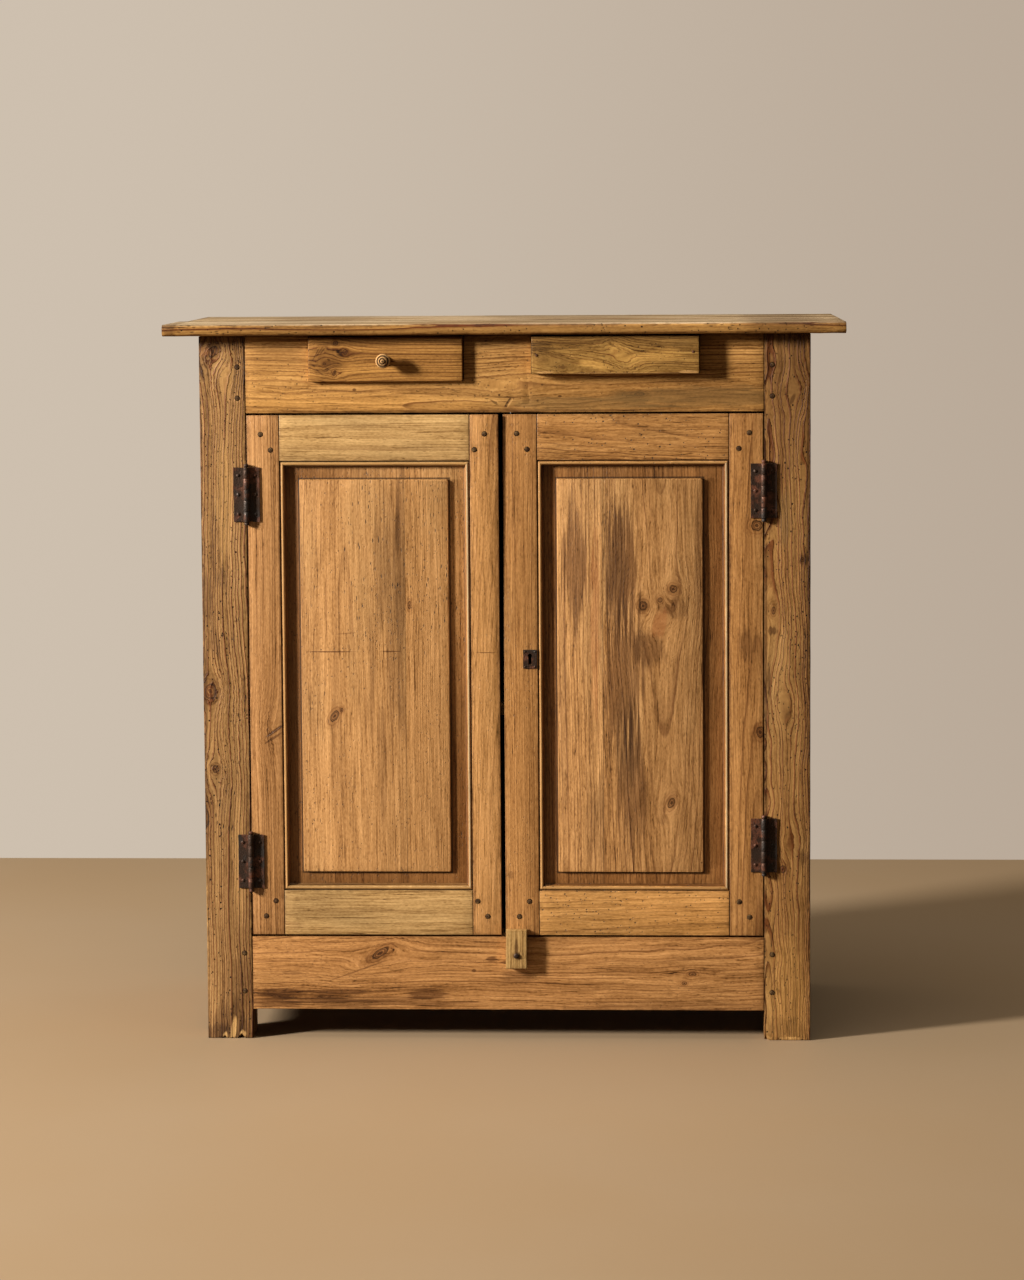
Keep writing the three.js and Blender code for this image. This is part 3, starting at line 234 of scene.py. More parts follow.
def deselect():
    """Leaves edit mode and clears the selection."""
    if bpy.context.mode != "OBJECT":
        bpy.ops.object.mode_set(mode="OBJECT")
    bpy.ops.object.select_all(action="DESELECT")


def activate(*pieces):
    """Selects only these pieces, with the first one active."""
    deselect()
    for piece in pieces:
        piece.select_set(True)
    bpy.context.view_layer.objects.active = pieces[0]


def edit(piece):
    """Opens the piece in edit mode with everything selected."""
    activate(piece)
    bpy.ops.object.mode_set(mode="EDIT")
    bpy.ops.mesh.select_all(action="SELECT")


def middle(part):
    """Middle of a vertex, an edge or a face in edit mode."""
    if isinstance(part, bmesh.types.BMVert):
        return part.co
    return sum((corner.co for corner in part.verts), Vector()) / len(part.verts)


def pick(kind, test):
    """In edit mode, selects only the parts of one kind that pass the test."""
    bpy.ops.mesh.select_mode(type=kind)
    bpy.ops.mesh.select_all(action="DESELECT")
    shape = bmesh.from_edit_mesh(bpy.context.edit_object.data)
    for part in {"VERT": shape.verts, "EDGE": shape.edges, "FACE": shape.faces}[kind]:
        if test(part):
            part.select_set(True)
    bmesh.update_edit_mesh(bpy.context.edit_object.data)


def start_block(name, low, high):
    """Starts a piece as a block between two corners."""
    deselect()
    low, high = Vector(low), Vector(high)
    bpy.ops.mesh.primitive_cube_add(size=1, location=(low + high) / 2, scale=high - low)
    bpy.ops.object.transform_apply(location=True, rotation=True, scale=True)
    bpy.context.object.name = name
    return bpy.context.object


def start_rod(name, centre, radius, length, axis, sides=24):
    """Starts a piece as a rod round a point, along one axis."""
    deselect()
    bpy.ops.mesh.primitive_cylinder_add(
        vertices=sides, radius=radius, depth=length, location=centre, rotation=TURNS[axis],
    )
    bpy.ops.object.transform_apply(location=True, rotation=True, scale=True)
    bpy.context.object.name = name
    return bpy.context.object


def start_outline(name, points):
    """Starts a piece as a chain of edges through points, drawn from one vertex by extruding it."""
    deselect()
    bpy.ops.mesh.primitive_plane_add(size=MM, location=points[0])
    bpy.ops.object.transform_apply(location=True, rotation=True, scale=True)
    piece = bpy.context.object
    piece.name = name
    edit(piece)
    bpy.ops.mesh.merge(type="CENTER")
    bpy.ops.mesh.select_mode(type="VERT")
    bpy.ops.mesh.select_all(action="SELECT")
    for last, point in zip(points, points[1:]):
        step = Vector(point) - Vector(last)
        bpy.ops.mesh.extrude_region_move(TRANSFORM_OT_translate={"value": step})
    return piece


def cross_cuts(piece, axis, spacing):
    """Cuts rings across the piece at even spacing along an axis."""
    index = "XYZ".index(axis)
    ends = [corner.co[index] for corner in piece.data.vertices]
    count = max(1, round((max(ends) - min(ends)) / spacing))
    normal = [float(i == index) for i in range(3)]
    edit(piece)
    for step in range(1, count):
        bpy.ops.mesh.select_all(action="SELECT")
        place = [0, 0, 0]
        place[index] = min(ends) + (max(ends) - min(ends)) * step / count
        bpy.ops.mesh.bisect(plane_co=place, plane_no=normal)
    deselect()


def apply_modifier(piece, kind, **settings):
    """Adds a modifier, sets it and applies it."""
    activate(piece)
    bpy.ops.object.modifier_add(type=kind)
    modifier = piece.modifiers[-1]
    for name, value in settings.items():
        setattr(modifier, name, value)
    bpy.ops.object.modifier_apply(modifier=modifier.name)


def ease(piece, width, segments=2, angle=35):
    """Rounds the sharp edges of a piece."""
    apply_modifier(
        piece, "BEVEL", width=width, segments=segments,
        limit_method="ANGLE", angle_limit=math.radians(angle),
    )


def unevenness(grain_size):
    """Cloud texture that makes hand worked surfaces wander."""
    name = f"unevenness {grain_size:.3f}"
    texture = bpy.data.textures.get(name) or bpy.data.textures.new(name, "CLOUDS")
    texture.noise_scale = grain_size
    return texture


def weather(piece, depth, grain_size=0.05):
    """Sinks the surface of a piece unevenly, and never raises it."""
    apply_modifier(
        piece, "DISPLACE", texture=unevenness(grain_size), texture_coords="LOCAL",
        mid_level=1, strength=depth,
    )


def board(name, low, high, along, worn=1.0):
    """Board with an uneven surface and edges worn more or less, whose length lies along an axis."""
    sizes = bpy.context.scene.cupboard_sizes
    piece = start_block(name, low, high)
    cross_cuts(piece, along, sizes.rows)
    ease(piece, sizes.ease * worn, 3)
    weather(piece, sizes.wear)
    return piece


def bore(piece, cutters):
    """Cuts other pieces out of a piece, and removes them."""
    cutter = join(cutters)
    apply_modifier(piece, "BOOLEAN", operation="DIFFERENCE", object=cutter, solver="EXACT")
    bpy.data.objects.remove(cutter)


def join(pieces):
    """Joins pieces into the first one."""
    activate(*pieces)
    if len(pieces) > 1:
        bpy.ops.object.join()
    return pieces[0]


def eased_copy(name, node, width, along=None):
    """Merged copy of a node of the frame, with eased edges."""
    sizes = bpy.context.scene.cupboard_sizes
    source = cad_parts[node]
    piece = bpy.data.objects.new(name, source.data.copy())
    piece.data.materials.clear()
    bpy.context.collection.objects.link(piece)
    edit(piece)
    bpy.ops.mesh.remove_doubles(threshold=0.01 * MM)
    bpy.ops.mesh.dissolve_limited(angle_limit=math.radians(1))
    if along:
        cross_cuts(piece, along, sizes.rows * 2)
    ease(piece, width)
    return piece


def finish_piece(piece, finish, body, slot, *nodes):
    """Gives a finished piece its material and its body, and hides the nodes that it replaces. Its slot is
    not used.
    """
    piece.data.materials.clear()
    piece.data.materials.append(finish)
    activate(piece)
    bpy.ops.object.shade_smooth_by_angle(angle=math.radians(32))
    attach(piece, body)
    if nodes:
        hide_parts(*nodes)
    deselect()


# Building materials from nodes

class Nodes:
    """Adds nodes to a tree and links or sets their inputs."""

    def __init__(self, tree):
        self.tree = tree

    def add(self, kind, inputs=None, **settings):
        """Adds a shader node, with its settings and inputs by name or number."""
        node = self.tree.nodes.new("ShaderNode" + kind)
        for name, value in settings.items():
            setattr(node, name, value)
        for key, value in (inputs or {}).items():
            self.put(node.inputs[key], value)
        return node

    def put(self, socket, value):
        """Links a socket to another one, or sets its value."""
        if isinstance(value, bpy.types.NodeSocket):
            self.tree.links.new(value, socket)
        elif socket.type == "RGBA" and len(value) == 3:
            socket.default_value = (*value, 1)
        else:
            socket.default_value = value

    def math(self, operation, *values):
        return self.add("Math", dict(enumerate(values)), operation=operation).outputs[0]

    def product(self, first, *others):
        """Product of two or more values."""
        for other in others:
            first = self.math("MULTIPLY", first, other)
        return first

    def weigh(self, total, *parts):
        """Total plus each part times its weight."""
        for part, weight in parts:
            total = self.math("MULTIPLY_ADD", part, weight, total)
        return total

    def vector(self, operation, *values):
        node = self.add("VectorMath", dict(enumerate(values)), operation=operation)
        return node.outputs["Value" if operation == "LENGTH" else "Vector"]

    def stretched(self, place, scale):
        """Place multiplied by a scale on each axis."""
        return self.vector("MULTIPLY", place, scale)

    def noise(self, place, scale, detail=2.0, output="Fac"):
        """Noise over a place that is stretched first. A scale is a number of waves a metre."""
        stretched = self.stretched(place, scale)
        node = self.add("TexNoise", {"Vector": stretched, "Scale": 1.0, "Detail": detail})
        return node.outputs[output]

    def swing(self, place, scale, detail):
        """Noise that swings round 0."""
        return self.math("SUBTRACT", self.noise(place, scale, detail), 0.5)

    def cells(self, place, scale):
        """Distance to the nearest of scattered points."""
        stretched = self.stretched(place, scale)
        return self.add("TexVoronoi", {"Vector": stretched, "Scale": 1.0}).outputs["Distance"]

    def smooth(self, value, start, end, low=0.0, high=1.0):
        """Smooth step from low to high while the value goes from start to end."""
        inputs = {"Value": value, "From Min": start, "From Max": end, "To Min": low, "To Max": high}
        return self.add("MapRange", inputs, interpolation_type="SMOOTHSTEP").outputs["Result"]

    def mix(self, share, first, second, blend="MIX"):
        """Mix of two colours."""
        node = self.add("Mix", data_type="RGBA", blend_type=blend)
        self.put(node.inputs[0], share)
        self.put(node.inputs[6], first)
        self.put(node.inputs[7], second)
        return node.outputs[2]

    def darken(self, share, colour, tone):
        """Colour multiplied by a tone where the share is 1."""
        return self.mix(share, colour, self.mix(1.0, colour, tone, "MULTIPLY"))

    def even(self, value):
        """Grey colour of a value."""
        return self.add("CombineColor", {0: value, 1: value, 2: value}).outputs[0]

    def ramp(self, share, stops):
        """Value that follows stops of place and height."""
        node = self.add("ValToRGB", {"Fac": share})
        points = node.color_ramp.elements
        while len(points) < len(stops):
            points.new(0.5)
        for point, (place, height) in zip(points, stops):
            point.position = place
            point.color = (height, height, height, 1)
        return node.outputs["Color"]


def new_group(name, inputs, outputs):
    """Node group with sockets, its helper, its input sockets and its output node."""
    tree = bpy.data.node_groups.new(name, "ShaderNodeTree")
    for label, kind, default in inputs:
        socket = tree.interface.new_socket(name=label, in_out="INPUT", socket_type="NodeSocket" + kind)
        socket.default_value = default
    for label, kind in outputs:
        tree.interface.new_socket(name=label, in_out="OUTPUT", socket_type="NodeSocket" + kind)
    entry = tree.nodes.new("NodeGroupInput")
    return Nodes(tree), entry.outputs, tree.nodes.new("NodeGroupOutput").inputs


def grain_group():
    """Grain of pine: growth rings round a heart, fibres, streaks, mottling, pits and worm holes.

    Place is in metres from the heart, with Z along the grain. Height is in millimetres.
    """
    white = (1, 1, 1, 1)
    nodes, given, made = new_group("pine grain", [
        ("Place", "Vector", (0, 0, 0)), ("Bend", "Float", 0), ("Tone", "Color", white),
        ("Late Tone", "Color", white), ("Grey Tone", "Color", white), ("Dirt Tone", "Color", white),
        ("Spacing", "Float", 0.0035), ("Contrast", "Float", 0.5), ("Figure", "Float", 0.01),
        ("Ripple", "Float", 0.002), ("Streaks", "Float", 0.3), ("Mottle", "Float", 0.3),
        ("Ridges", "Float", 0.1), ("Pits", "Float", 0.3), ("Worms", "Float", 0.3),
    ], [("Color", "Color"), ("Height", "Float"), ("Roughness", "Float")])
    place = given["Place"]

    bent = place
    for scale, detail, amount in (((8, 8, 1.7), 1.5, "Figure"), ((24, 24, 14), 1.0, "Ripple")):
        swell = nodes.vector("SUBTRACT", nodes.noise(place, scale, detail, "Color"), (0.5, 0.5, 0.5))
        swell = nodes.vector("SCALE", swell)
        nodes.put(swell.node.inputs["Scale"], given[amount])
        bent = nodes.vector("ADD", bent, swell)
    shift = nodes.add("CombineXYZ", {"X": given["Bend"]}).outputs[0]
    bent = nodes.vector("ADD", bent, shift)
    reach = nodes.vector("LENGTH", nodes.stretched(bent, (1, 1, 0)))

    years = nodes.math("DIVIDE", reach, given["Spacing"])
    along_years = nodes.add("CombineXYZ", {"X": years}).outputs[0]
    uneven = nodes.noise(along_years, (0.21, 0, 0), 2.0)
    phase = nodes.math("FRACT", nodes.weigh(years, (uneven, 4.0)))
    late = nodes.ramp(phase, [
        (0, 0.1), (0.07, 0), (0.55, 0.03), (0.8, 0.42), (0.9, 1), (0.96, 1), (1, 0.1),
    ])
    strong = nodes.noise(along_years, (0.9, 0, 0), 0.0)
    patchy = nodes.noise(place, (50, 50, 2.5), 2.0)
    vary = nodes.product(
        nodes.smooth(strong, 0.25, 0.75, 0.3, 1.4), nodes.smooth(patchy, 0.25, 0.75, 0.35, 1.25),
    )
    late = nodes.product(late, vary)

    fibre = nodes.swing(bent, (1300, 1300, 22), 1.0)
    coarse = nodes.swing(bent, (360, 360, 13), 2.0)
    nap = nodes.swing(bent, (430, 430, 170), 3.0)
    streak = nodes.swing(bent, (190, 190, 2.4), 3.0)
    broad = nodes.swing(place, (30, 30, 1.1), 2.0)
    bands = nodes.product(nodes.math("ADD", streak, broad), given["Streaks"])
    lines = nodes.smooth(nodes.noise(bent, (480, 480, 8), 2.0), 0.57, 0.7)
    pores = nodes.product(nodes.smooth(nodes.cells(bent, (260, 260, 60)), 0.24, 0.1), patchy)
    shade = nodes.weigh(
        1.0, (bands, 1.6), (fibre, 0.5), (coarse, 1.0), (nap, 0.9), (lines, -0.5), (pores, -0.75),
    )
    mottle = nodes.noise(place, (13, 13, 3.2), 3.0)
    grey = nodes.product(nodes.smooth(mottle, 0.42, 0.72), given["Mottle"])
    colour = nodes.mix(grey, given["Tone"], given["Grey Tone"])
    colour = nodes.mix(nodes.product(late, given["Contrast"]), colour, given["Late Tone"])
    shade = nodes.math("MAXIMUM", shade, 0.05)
    warm = {0: nodes.math("POWER", shade, 0.85), 1: shade, 2: nodes.math("POWER", shade, 1.25)}
    colour = nodes.mix(1.0, colour, nodes.add("CombineColor", warm).outputs[0], "MULTIPLY")

    holes = 0.0
    for zone_scale, zone_ends, where, scale, ends, amount in (
        ((14, 14, 4), (0.45, 0.65), bent, (210, 210, 42), (0.2, 0.09), "Pits"),
        ((9, 9, 7), (0.38, 0.52), place, (86, 86, 70), (0.13, 0.09), "Worms"),
        ((19, 19, 9), (0.34, 0.52), place, (150, 150, 115), (0.17, 0.1), "Worms"),
    ):
        zone = nodes.smooth(nodes.noise(place, zone_scale, 2.0), *zone_ends)
        dots = nodes.smooth(nodes.cells(where, scale), *ends)
        holes = nodes.math("MAXIMUM", holes, nodes.product(dots, zone, given[amount]))
    nodes.put(made["Color"], nodes.mix(holes, colour, given["Dirt Tone"]))

    height = nodes.weigh(
        nodes.product(late, given["Ridges"]),
        (fibre, 0.12), (coarse, 0.3), (nap, 0.25), (streak, 0.25), (holes, -0.6),
    )
    nodes.put(made["Height"], height)
    nodes.put(made["Roughness"], nodes.weigh(0.56, (fibre, 0.25), (grey, 0.2), (holes, 0.3)))
    return nodes.tree


def spot_group():
    """Distance from the middle of an oval spot, 1 at its rim, ragged along the grain."""
    nodes, given, made = new_group("spot", [
        ("Place", "Vector", (0, 0, 0)), ("Centre", "Vector", (0, 0, 0)), ("Turn", "Vector", (0, 0, 0)),
        ("Size", "Vector", (1, 1, 1)), ("Ragged", "Float", 0.3), ("Stretch", "Vector", (1, 1, 1)),
    ], [("Distance", "Float")])
    inner = nodes.add("Mapping", {
        "Vector": given["Place"], "Location": given["Centre"],
        "Rotation": given["Turn"], "Scale": given["Size"],
    }, vector_type="TEXTURE").outputs[0]
    distance = nodes.vector("LENGTH", inner)
    wander = nodes.swing(given["Place"], given["Stretch"], 2.5)
    nodes.put(made["Distance"], nodes.weigh(distance, (wander, given["Ragged"])))
    return nodes.tree


def rim_group():
    """How near a point is to an edge of a board between two corners: 1 on the edge."""
    nodes, given, made = new_group("board rim", [
        ("Place", "Vector", (0, 0, 0)), ("Low", "Vector", (0, 0, 0)), ("High", "Vector", (1, 1, 1)),
        ("Width", "Float", 0.006),
    ], [("Rim", "Float")])
    from_low = nodes.vector("SUBTRACT", given["Place"], given["Low"])
    from_high = nodes.vector("SUBTRACT", given["High"], given["Place"])
    nearest = nodes.add("SeparateXYZ", {0: nodes.vector("MINIMUM", from_low, from_high)}).outputs
    least = nodes.math("MINIMUM", nearest[0], nearest[1])
    most = nodes.math("MAXIMUM", nearest[0], nearest[1])
    second = nodes.math("MAXIMUM", least, nodes.math("MINIMUM", most, nearest[2]))
    wander = nodes.noise(given["Place"], (70, 70, 70), 3.0)
    reach = nodes.product(given["Width"], nodes.smooth(wander, 0.3, 0.75, 0.15, 1.6))
    inside = nodes.smooth(nodes.math("DIVIDE", second, reach), 0.0, 1.0)
    nodes.put(made["Rim"], nodes.math("SUBTRACT", 1.0, inside))
    return nodes.tree


def shared_group(name, build):
    """The node group of that name, built when it is first needed."""
    return bpy.data.node_groups.get(name) or build()


def start_material(name):
    """Material with a principled shader, its helper and its object coordinates."""
    material = bpy.data.materials.new(name)
    material.use_nodes = True
    nodes = Nodes(material.node_tree)
    shader = material.node_tree.nodes["Principled BSDF"]
    place = nodes.add("TexCoord").outputs["Object"]
    return material, nodes, shader, place


def add_bump(nodes, shader, height):
    """Bump from a height in millimetres."""
    bump = nodes.add("Bump", {"Height": height, "Strength": 1.0, "Distance": MM})
    nodes.put(shader.inputs["Normal"], bump.outputs["Normal"])


def spot(nodes, place, along, centre, radii, turn, ragged, waves):
    """Distance socket of a spot with a centre and radii on X, Y and Z.

    Its rim wanders with waves a metre across and along the grain.
    """
    stretch = [waves[1] if axis == along else waves[0] for axis in "XYZ"]
    return nodes.add("Group", {
        "Place": place, "Centre": centre, "Turn": (0, turn, 0),
        "Size": radii, "Ragged": ragged, "Stretch": stretch,
    }, node_tree=shared_group("spot", spot_group)).outputs["Distance"]


def draw_knots(nodes, made, distances, tones):
    """Adds a halo, rings, a core and a dark rim round the middle of each knot."""
    for distance in distances:
        halo = nodes.smooth(distance, 2.8, 0.9, 0.0, 0.5)
        made = nodes.darken(halo, made, KNOT_HALO)
        ripples = nodes.smooth(nodes.math("SINE", nodes.product(distance, 8.0)), 0.0, 0.9)
        ripples = nodes.product(ripples, nodes.smooth(distance, 3.4, 1.3, 0.0, 0.5))
        made = nodes.darken(ripples, made, KNOT_RINGS)
        rings = nodes.math("SINE", nodes.product(distance, 17.0))
        core = nodes.mix(nodes.smooth(rings, -0.5, 0.8), tones.knot, made)
        made = nodes.mix(nodes.smooth(distance, 1.1, 0.8, 0.0, 0.8), made, core)
        off_rim = nodes.math("ABSOLUTE", nodes.math("SUBTRACT", distance, 0.95))
        made = nodes.mix(nodes.smooth(off_rim, 0.22, 0.04, 0.0, 0.75), made, tones.dirt_and_shade)
        made = nodes.mix(nodes.smooth(distance, 0.45, 0.1, 0.0, 0.7), made, tones.dirt_and_shade)
    return made


def draw_patch(nodes, made, cover, tone_name, tones):
    """Adds a patch of another tone. Gold shines through, and the others cover the wood."""
    if tone_name == "gold_wood":
        return nodes.mix(nodes.product(cover, 0.35), made, tones.gold_wood, "ADD")
    covering = nodes.mix(0.35, getattr(tones, tone_name), made, "MULTIPLY")
    return nodes.mix(cover, made, covering)


def draw_bead(nodes, made, inward, depth, crest_highlight_tone, tones):
    """Adds painted shade in the quirk of a moulding and a painted highlight, partly wear, on its crest,
    from millimetres inward.
    """
    quirk = nodes.product(nodes.smooth(inward, -0.6, 0.3), nodes.smooth(inward, 2.1, 1.4))
    made = nodes.mix(nodes.product(quirk, 0.85), made, tones.dirt_and_shade)
    crest = nodes.product(nodes.smooth(inward, 2.2, 3.4), nodes.smooth(inward, 6.6, 5.4))
    crest = nodes.product(crest, nodes.smooth(depth, FRONT + 3 * MM, FRONT + 1 * MM, 0.0, 0.85))
    return nodes.mix(crest, made, nodes.mix(0.15, crest_highlight_tone, made, "MULTIPLY"))


def draw_field_foot_shade(nodes, made, axes, field, tones):
    """Adds painted shade, a dark line, at the foot of a raised field between its left, right, lower and
    upper edge.
    """
    past = []
    for axis, low, high in (("X", field[0], field[1]), ("Z", field[2], field[3])):
        before = nodes.math("SUBTRACT", low, axes[axis])
        after = nodes.math("SUBTRACT", axes[axis], high)
        past.append(nodes.math("MAXIMUM", before, after))
    outside = nodes.math("DIVIDE", nodes.math("MAXIMUM", *past), MM)
    foot = nodes.product(nodes.smooth(outside, -0.9, 0.2), nodes.smooth(outside, 3.4, 1.2, 0.0, 0.8))
    return nodes.mix(foot, made, tones.dirt_and_shade)


def pine(name, colour, low, high, along="Z", heart=(0.12, 0.0), tilt=0.0, spacing=5.4 * MM,
         contrast=0.62, figure=0.012, ripple=0.0015, streaks=0.8, mottle=0.3, ridges=0.12, pits=0.3,
         worms=0.25, rim=0.45, knots=(), swirls=(), stains=(), patches=(), joints=(),
         soak=16 * MM, tone_and_shade_below=None, deep=None, bead=None, field=None, wax=0.0):
    """Old waxed pine for a board between two corners.

    heart is the place of the tree's heart from the board's middle, across and deep. A knot is x, z,
    radius x, radius z and turn, and a swirl bends the grain in the same way, without a knot in it.
    A stain is x, z, radius x, radius z, turn and strength; the stains just beneath the top's overhang
    are painted shade there, with grime. A patch is given like a stain, with the name of its tone. A
    joint is a place across and a change of shade: the grain of another board begins there, a seam
    shows, and stains stop. soak is how deep the stains and patches go in from the front. bead is the
    place across where a moulding begins, and its way, 1 or -1: its quirk gets painted shade and its
    crest a painted highlight, partly wear, brighter where the bead faces the side light. field is the
    left, right, lower and upper edge of a raised field, with painted shade at its foot. under is a
    height and the tone that multiplies the wood below it: on the top, partly the wood's own colour and
    partly painted shade. deep is two depths and the tone that multiplies the wood from the first to the
    second: painted shade in these recesses, with grime. wax is the polish of the surface, from 0 to 1.
    """
    tones = bpy.context.scene.cupboard_tones
    material, nodes, shader, place = start_material(name)
    low, high = Vector(low), Vector(high)
    turn = Matrix.Rotation(TURNS[along][1], 3, "Y") @ Matrix.Rotation(TURNS[along][0], 3, "X")
    centre = turn @ ((low + high) / 2)
    to_middle = {"Vector": place, "Location": -centre, "Rotation": TURNS[along]}
    laid = nodes.add("Mapping", to_middle).outputs[0]
    from_heart = {"Vector": laid, "Location": (-heart[0], -heart[1], 0), "Rotation": (tilt, 0, 0)}
    laid = nodes.add("Mapping", from_heart).outputs[0]
    axes = nodes.add("SeparateXYZ", {0: place}).outputs
    lying = along == "X"
    across = axes["Z"] if lying else axes["X"]
    shade = 1.0
    boards = []
    for number, (start, change) in enumerate(joints, 1):
        step = nodes.math("GREATER_THAN", across, start)
        boards.append((start, step))
        jump = {"X": nodes.product(step, 0.061 * number), "Z": nodes.product(step, 0.7)}
        laid = nodes.vector("ADD", laid, nodes.add("CombineXYZ", jump).outputs[0])
        shade = nodes.weigh(shade, (step, change))

    bend = 0.0
    distances = []
    for x, z, wide, tall, lean in (*knots, *swirls):
        distance = spot(nodes, place, along, (x, low.y, z), (wide, 0.035, tall), lean, 0.7, (170, 90))
        distances.append(distance)
        fade = nodes.math("ADD", nodes.math("POWER", nodes.math("MAXIMUM", distance, 0.0), 2.4), 1.0)
        offset = nodes.math("SUBTRACT", z if lying else x, across)
        bend = nodes.math("ADD", bend, nodes.math("DIVIDE", offset, fade))

    grain = nodes.add("Group", {
        "Place": laid, "Bend": bend, "Tone": colour, "Late Tone": tones.late_wood,
        "Grey Tone": tones.grey_wood, "Dirt Tone": tones.dirt_and_shade, "Spacing": spacing,
        "Contrast": contrast, "Figure": figure, "Ripple": ripple, "Streaks": streaks,
        "Mottle": mottle, "Ridges": ridges, "Pits": pits, "Worms": worms,
    }, node_tree=shared_group("pine grain", grain_group))
    made, height, rough = grain.outputs
    made = draw_knots(nodes, made, distances[:len(knots)], tones)
    for x, z, wide, tall, lean, strength in stains:
        ragged = 2.1 if min(wide, tall) > 4 * MM else 0.8
        distance = spot(nodes, place, along, (x, low.y, z), (wide, soak, tall), lean, ragged, (240, 9))
        cover = nodes.smooth(distance, 1.1, 0.55, 0.0, strength)
        for start, step in boards:
            past_joint = (z if lying else x) > start
            cover = nodes.product(cover, step if past_joint else nodes.math("SUBTRACT", 1.0, step))
        made = nodes.darken(cover, made, STAIN_AND_SHADE_TONE)
    for x, z, wide, tall, lean, strength, tone_name in patches:
        distance = spot(nodes, place, along, (x, low.y, z), (wide, soak, tall), lean, 1.4, (160, 22))
        cover = nodes.smooth(distance, 1.15, 0.6, 0.0, strength)
        made = draw_patch(nodes, made, cover, tone_name, tones)
    if joints:
        made = nodes.mix(1.0, made, nodes.even(shade), "MULTIPLY")
    for start, _ in boards:
        off_seam = nodes.math("ABSOLUTE", nodes.math("SUBTRACT", across, start))
        made = nodes.mix(nodes.smooth(off_seam, 0.9 * MM, 0.3 * MM, 0.0, 0.45), made, tones.dirt_and_shade)
    # Darker tone below a height: on the top, partly the wood's own colour, partly painted shade
    if tone_and_shade_below:
        below = nodes.smooth(axes["Z"], tone_and_shade_below[0] + 1 * MM, tone_and_shade_below[0] - 1 * MM)
        made = nodes.darken(below, made, tone_and_shade_below[1])
    # Painted shade, with grime, in the recesses between two depths
    if deep:
        made = nodes.darken(nodes.smooth(axes["Y"], deep[0], deep[1]), made, deep[2])
    # Painted shade in the quirk and a painted highlight on the crest of the moulding
    if bead:
        inward = nodes.product(nodes.math("SUBTRACT", across, bead[0]), bead[1] / MM)
        lit = bead[1] < 0 and not lying
        made = draw_bead(nodes, made, inward, axes["Y"], tones.bead_highlight if lit else tones.bare_wood, tones)
    # Painted shade at the foot of the raised field
    if field:
        made = draw_field_foot_shade(nodes, made, axes, field, tones)
    edge = nodes.add("Group", {
        "Place": place, "Low": low, "High": high,
    }, node_tree=shared_group("board rim", rim_group))
    made = nodes.darken(nodes.product(edge.outputs["Rim"], rim), made, GRIMY)
    nodes.put(shader.inputs["Base Color"], made)
    nodes.put(shader.inputs["Roughness"], nodes.weigh(-0.06 * wax, (rough, 1 - 0.25 * wax)))
    shader.inputs["Specular IOR Level"].default_value = 0.22 + 0.3 * wax
    add_bump(nodes, shader, height)
    return material


def old_iron():
    """Dark forged iron with rust."""
    tones = bpy.context.scene.cupboard_tones
    material, nodes, shader, place = start_material("old_iron")
    patches = nodes.noise(place, (60, 60, 60), 4.0)
    scale = nodes.noise(place, (420, 420, 420), 3.0)
    rusty = nodes.smooth(patches, 0.46, 0.68, 0.0, 0.85)
    bluish = nodes.smooth(nodes.noise(place, (38, 38, 24), 1.0), 0.52, 0.64, 0.0, 0.3)
    colour = nodes.mix(rusty, nodes.mix(bluish, tones.iron, (0.035, 0.06, 0.075)), tones.rust)
    colour = nodes.mix(nodes.smooth(scale, 0.35, 0.7, 0.0, 0.6), colour, (0.01, 0.008, 0.007))
    nodes.put(shader.inputs["Base Color"], colour)
    nodes.put(shader.inputs["Metallic"], nodes.smooth(rusty, 0.2, 0.8, 0.6, 0.1))
    nodes.put(shader.inputs["Roughness"], nodes.smooth(scale, 0.3, 0.7, 0.42, 0.75))
    add_bump(nodes, shader, nodes.math("MULTIPLY", scale, 0.7))
    return material


def plain_wood(name, colour, scale=(60, 60, 60), dark=0.5):
    """Small pieces of wood: fine specks and soft patches."""
    tones = bpy.context.scene.cupboard_tones
    material, nodes, shader, place = start_material(name)
    patches = nodes.noise(place, scale, 4.0)
    specks = nodes.noise(place, [value * 12 for value in scale], 2.0)
    made = nodes.mix(nodes.smooth(patches, 0.4, 0.7, 0.0, dark), colour, tones.grey_wood)
    made = nodes.mix(nodes.smooth(specks, 0.5, 0.75, 0.0, dark), made, tones.dirt_and_shade)
    nodes.put(shader.inputs["Base Color"], made)
    nodes.put(shader.inputs["Roughness"], nodes.smooth(specks, 0.3, 0.7, 0.6, 0.8))
    shader.inputs["Specular IOR Level"].default_value = 0.2
    add_bump(nodes, shader, nodes.math("MULTIPLY", nodes.math("ADD", patches, specks), 0.3))
    return material


def material_of(name, build, *values):
    """The material of that name, built when it is first needed."""
    return bpy.data.materials.get(name) or build(*values)


# Posts, rails and top

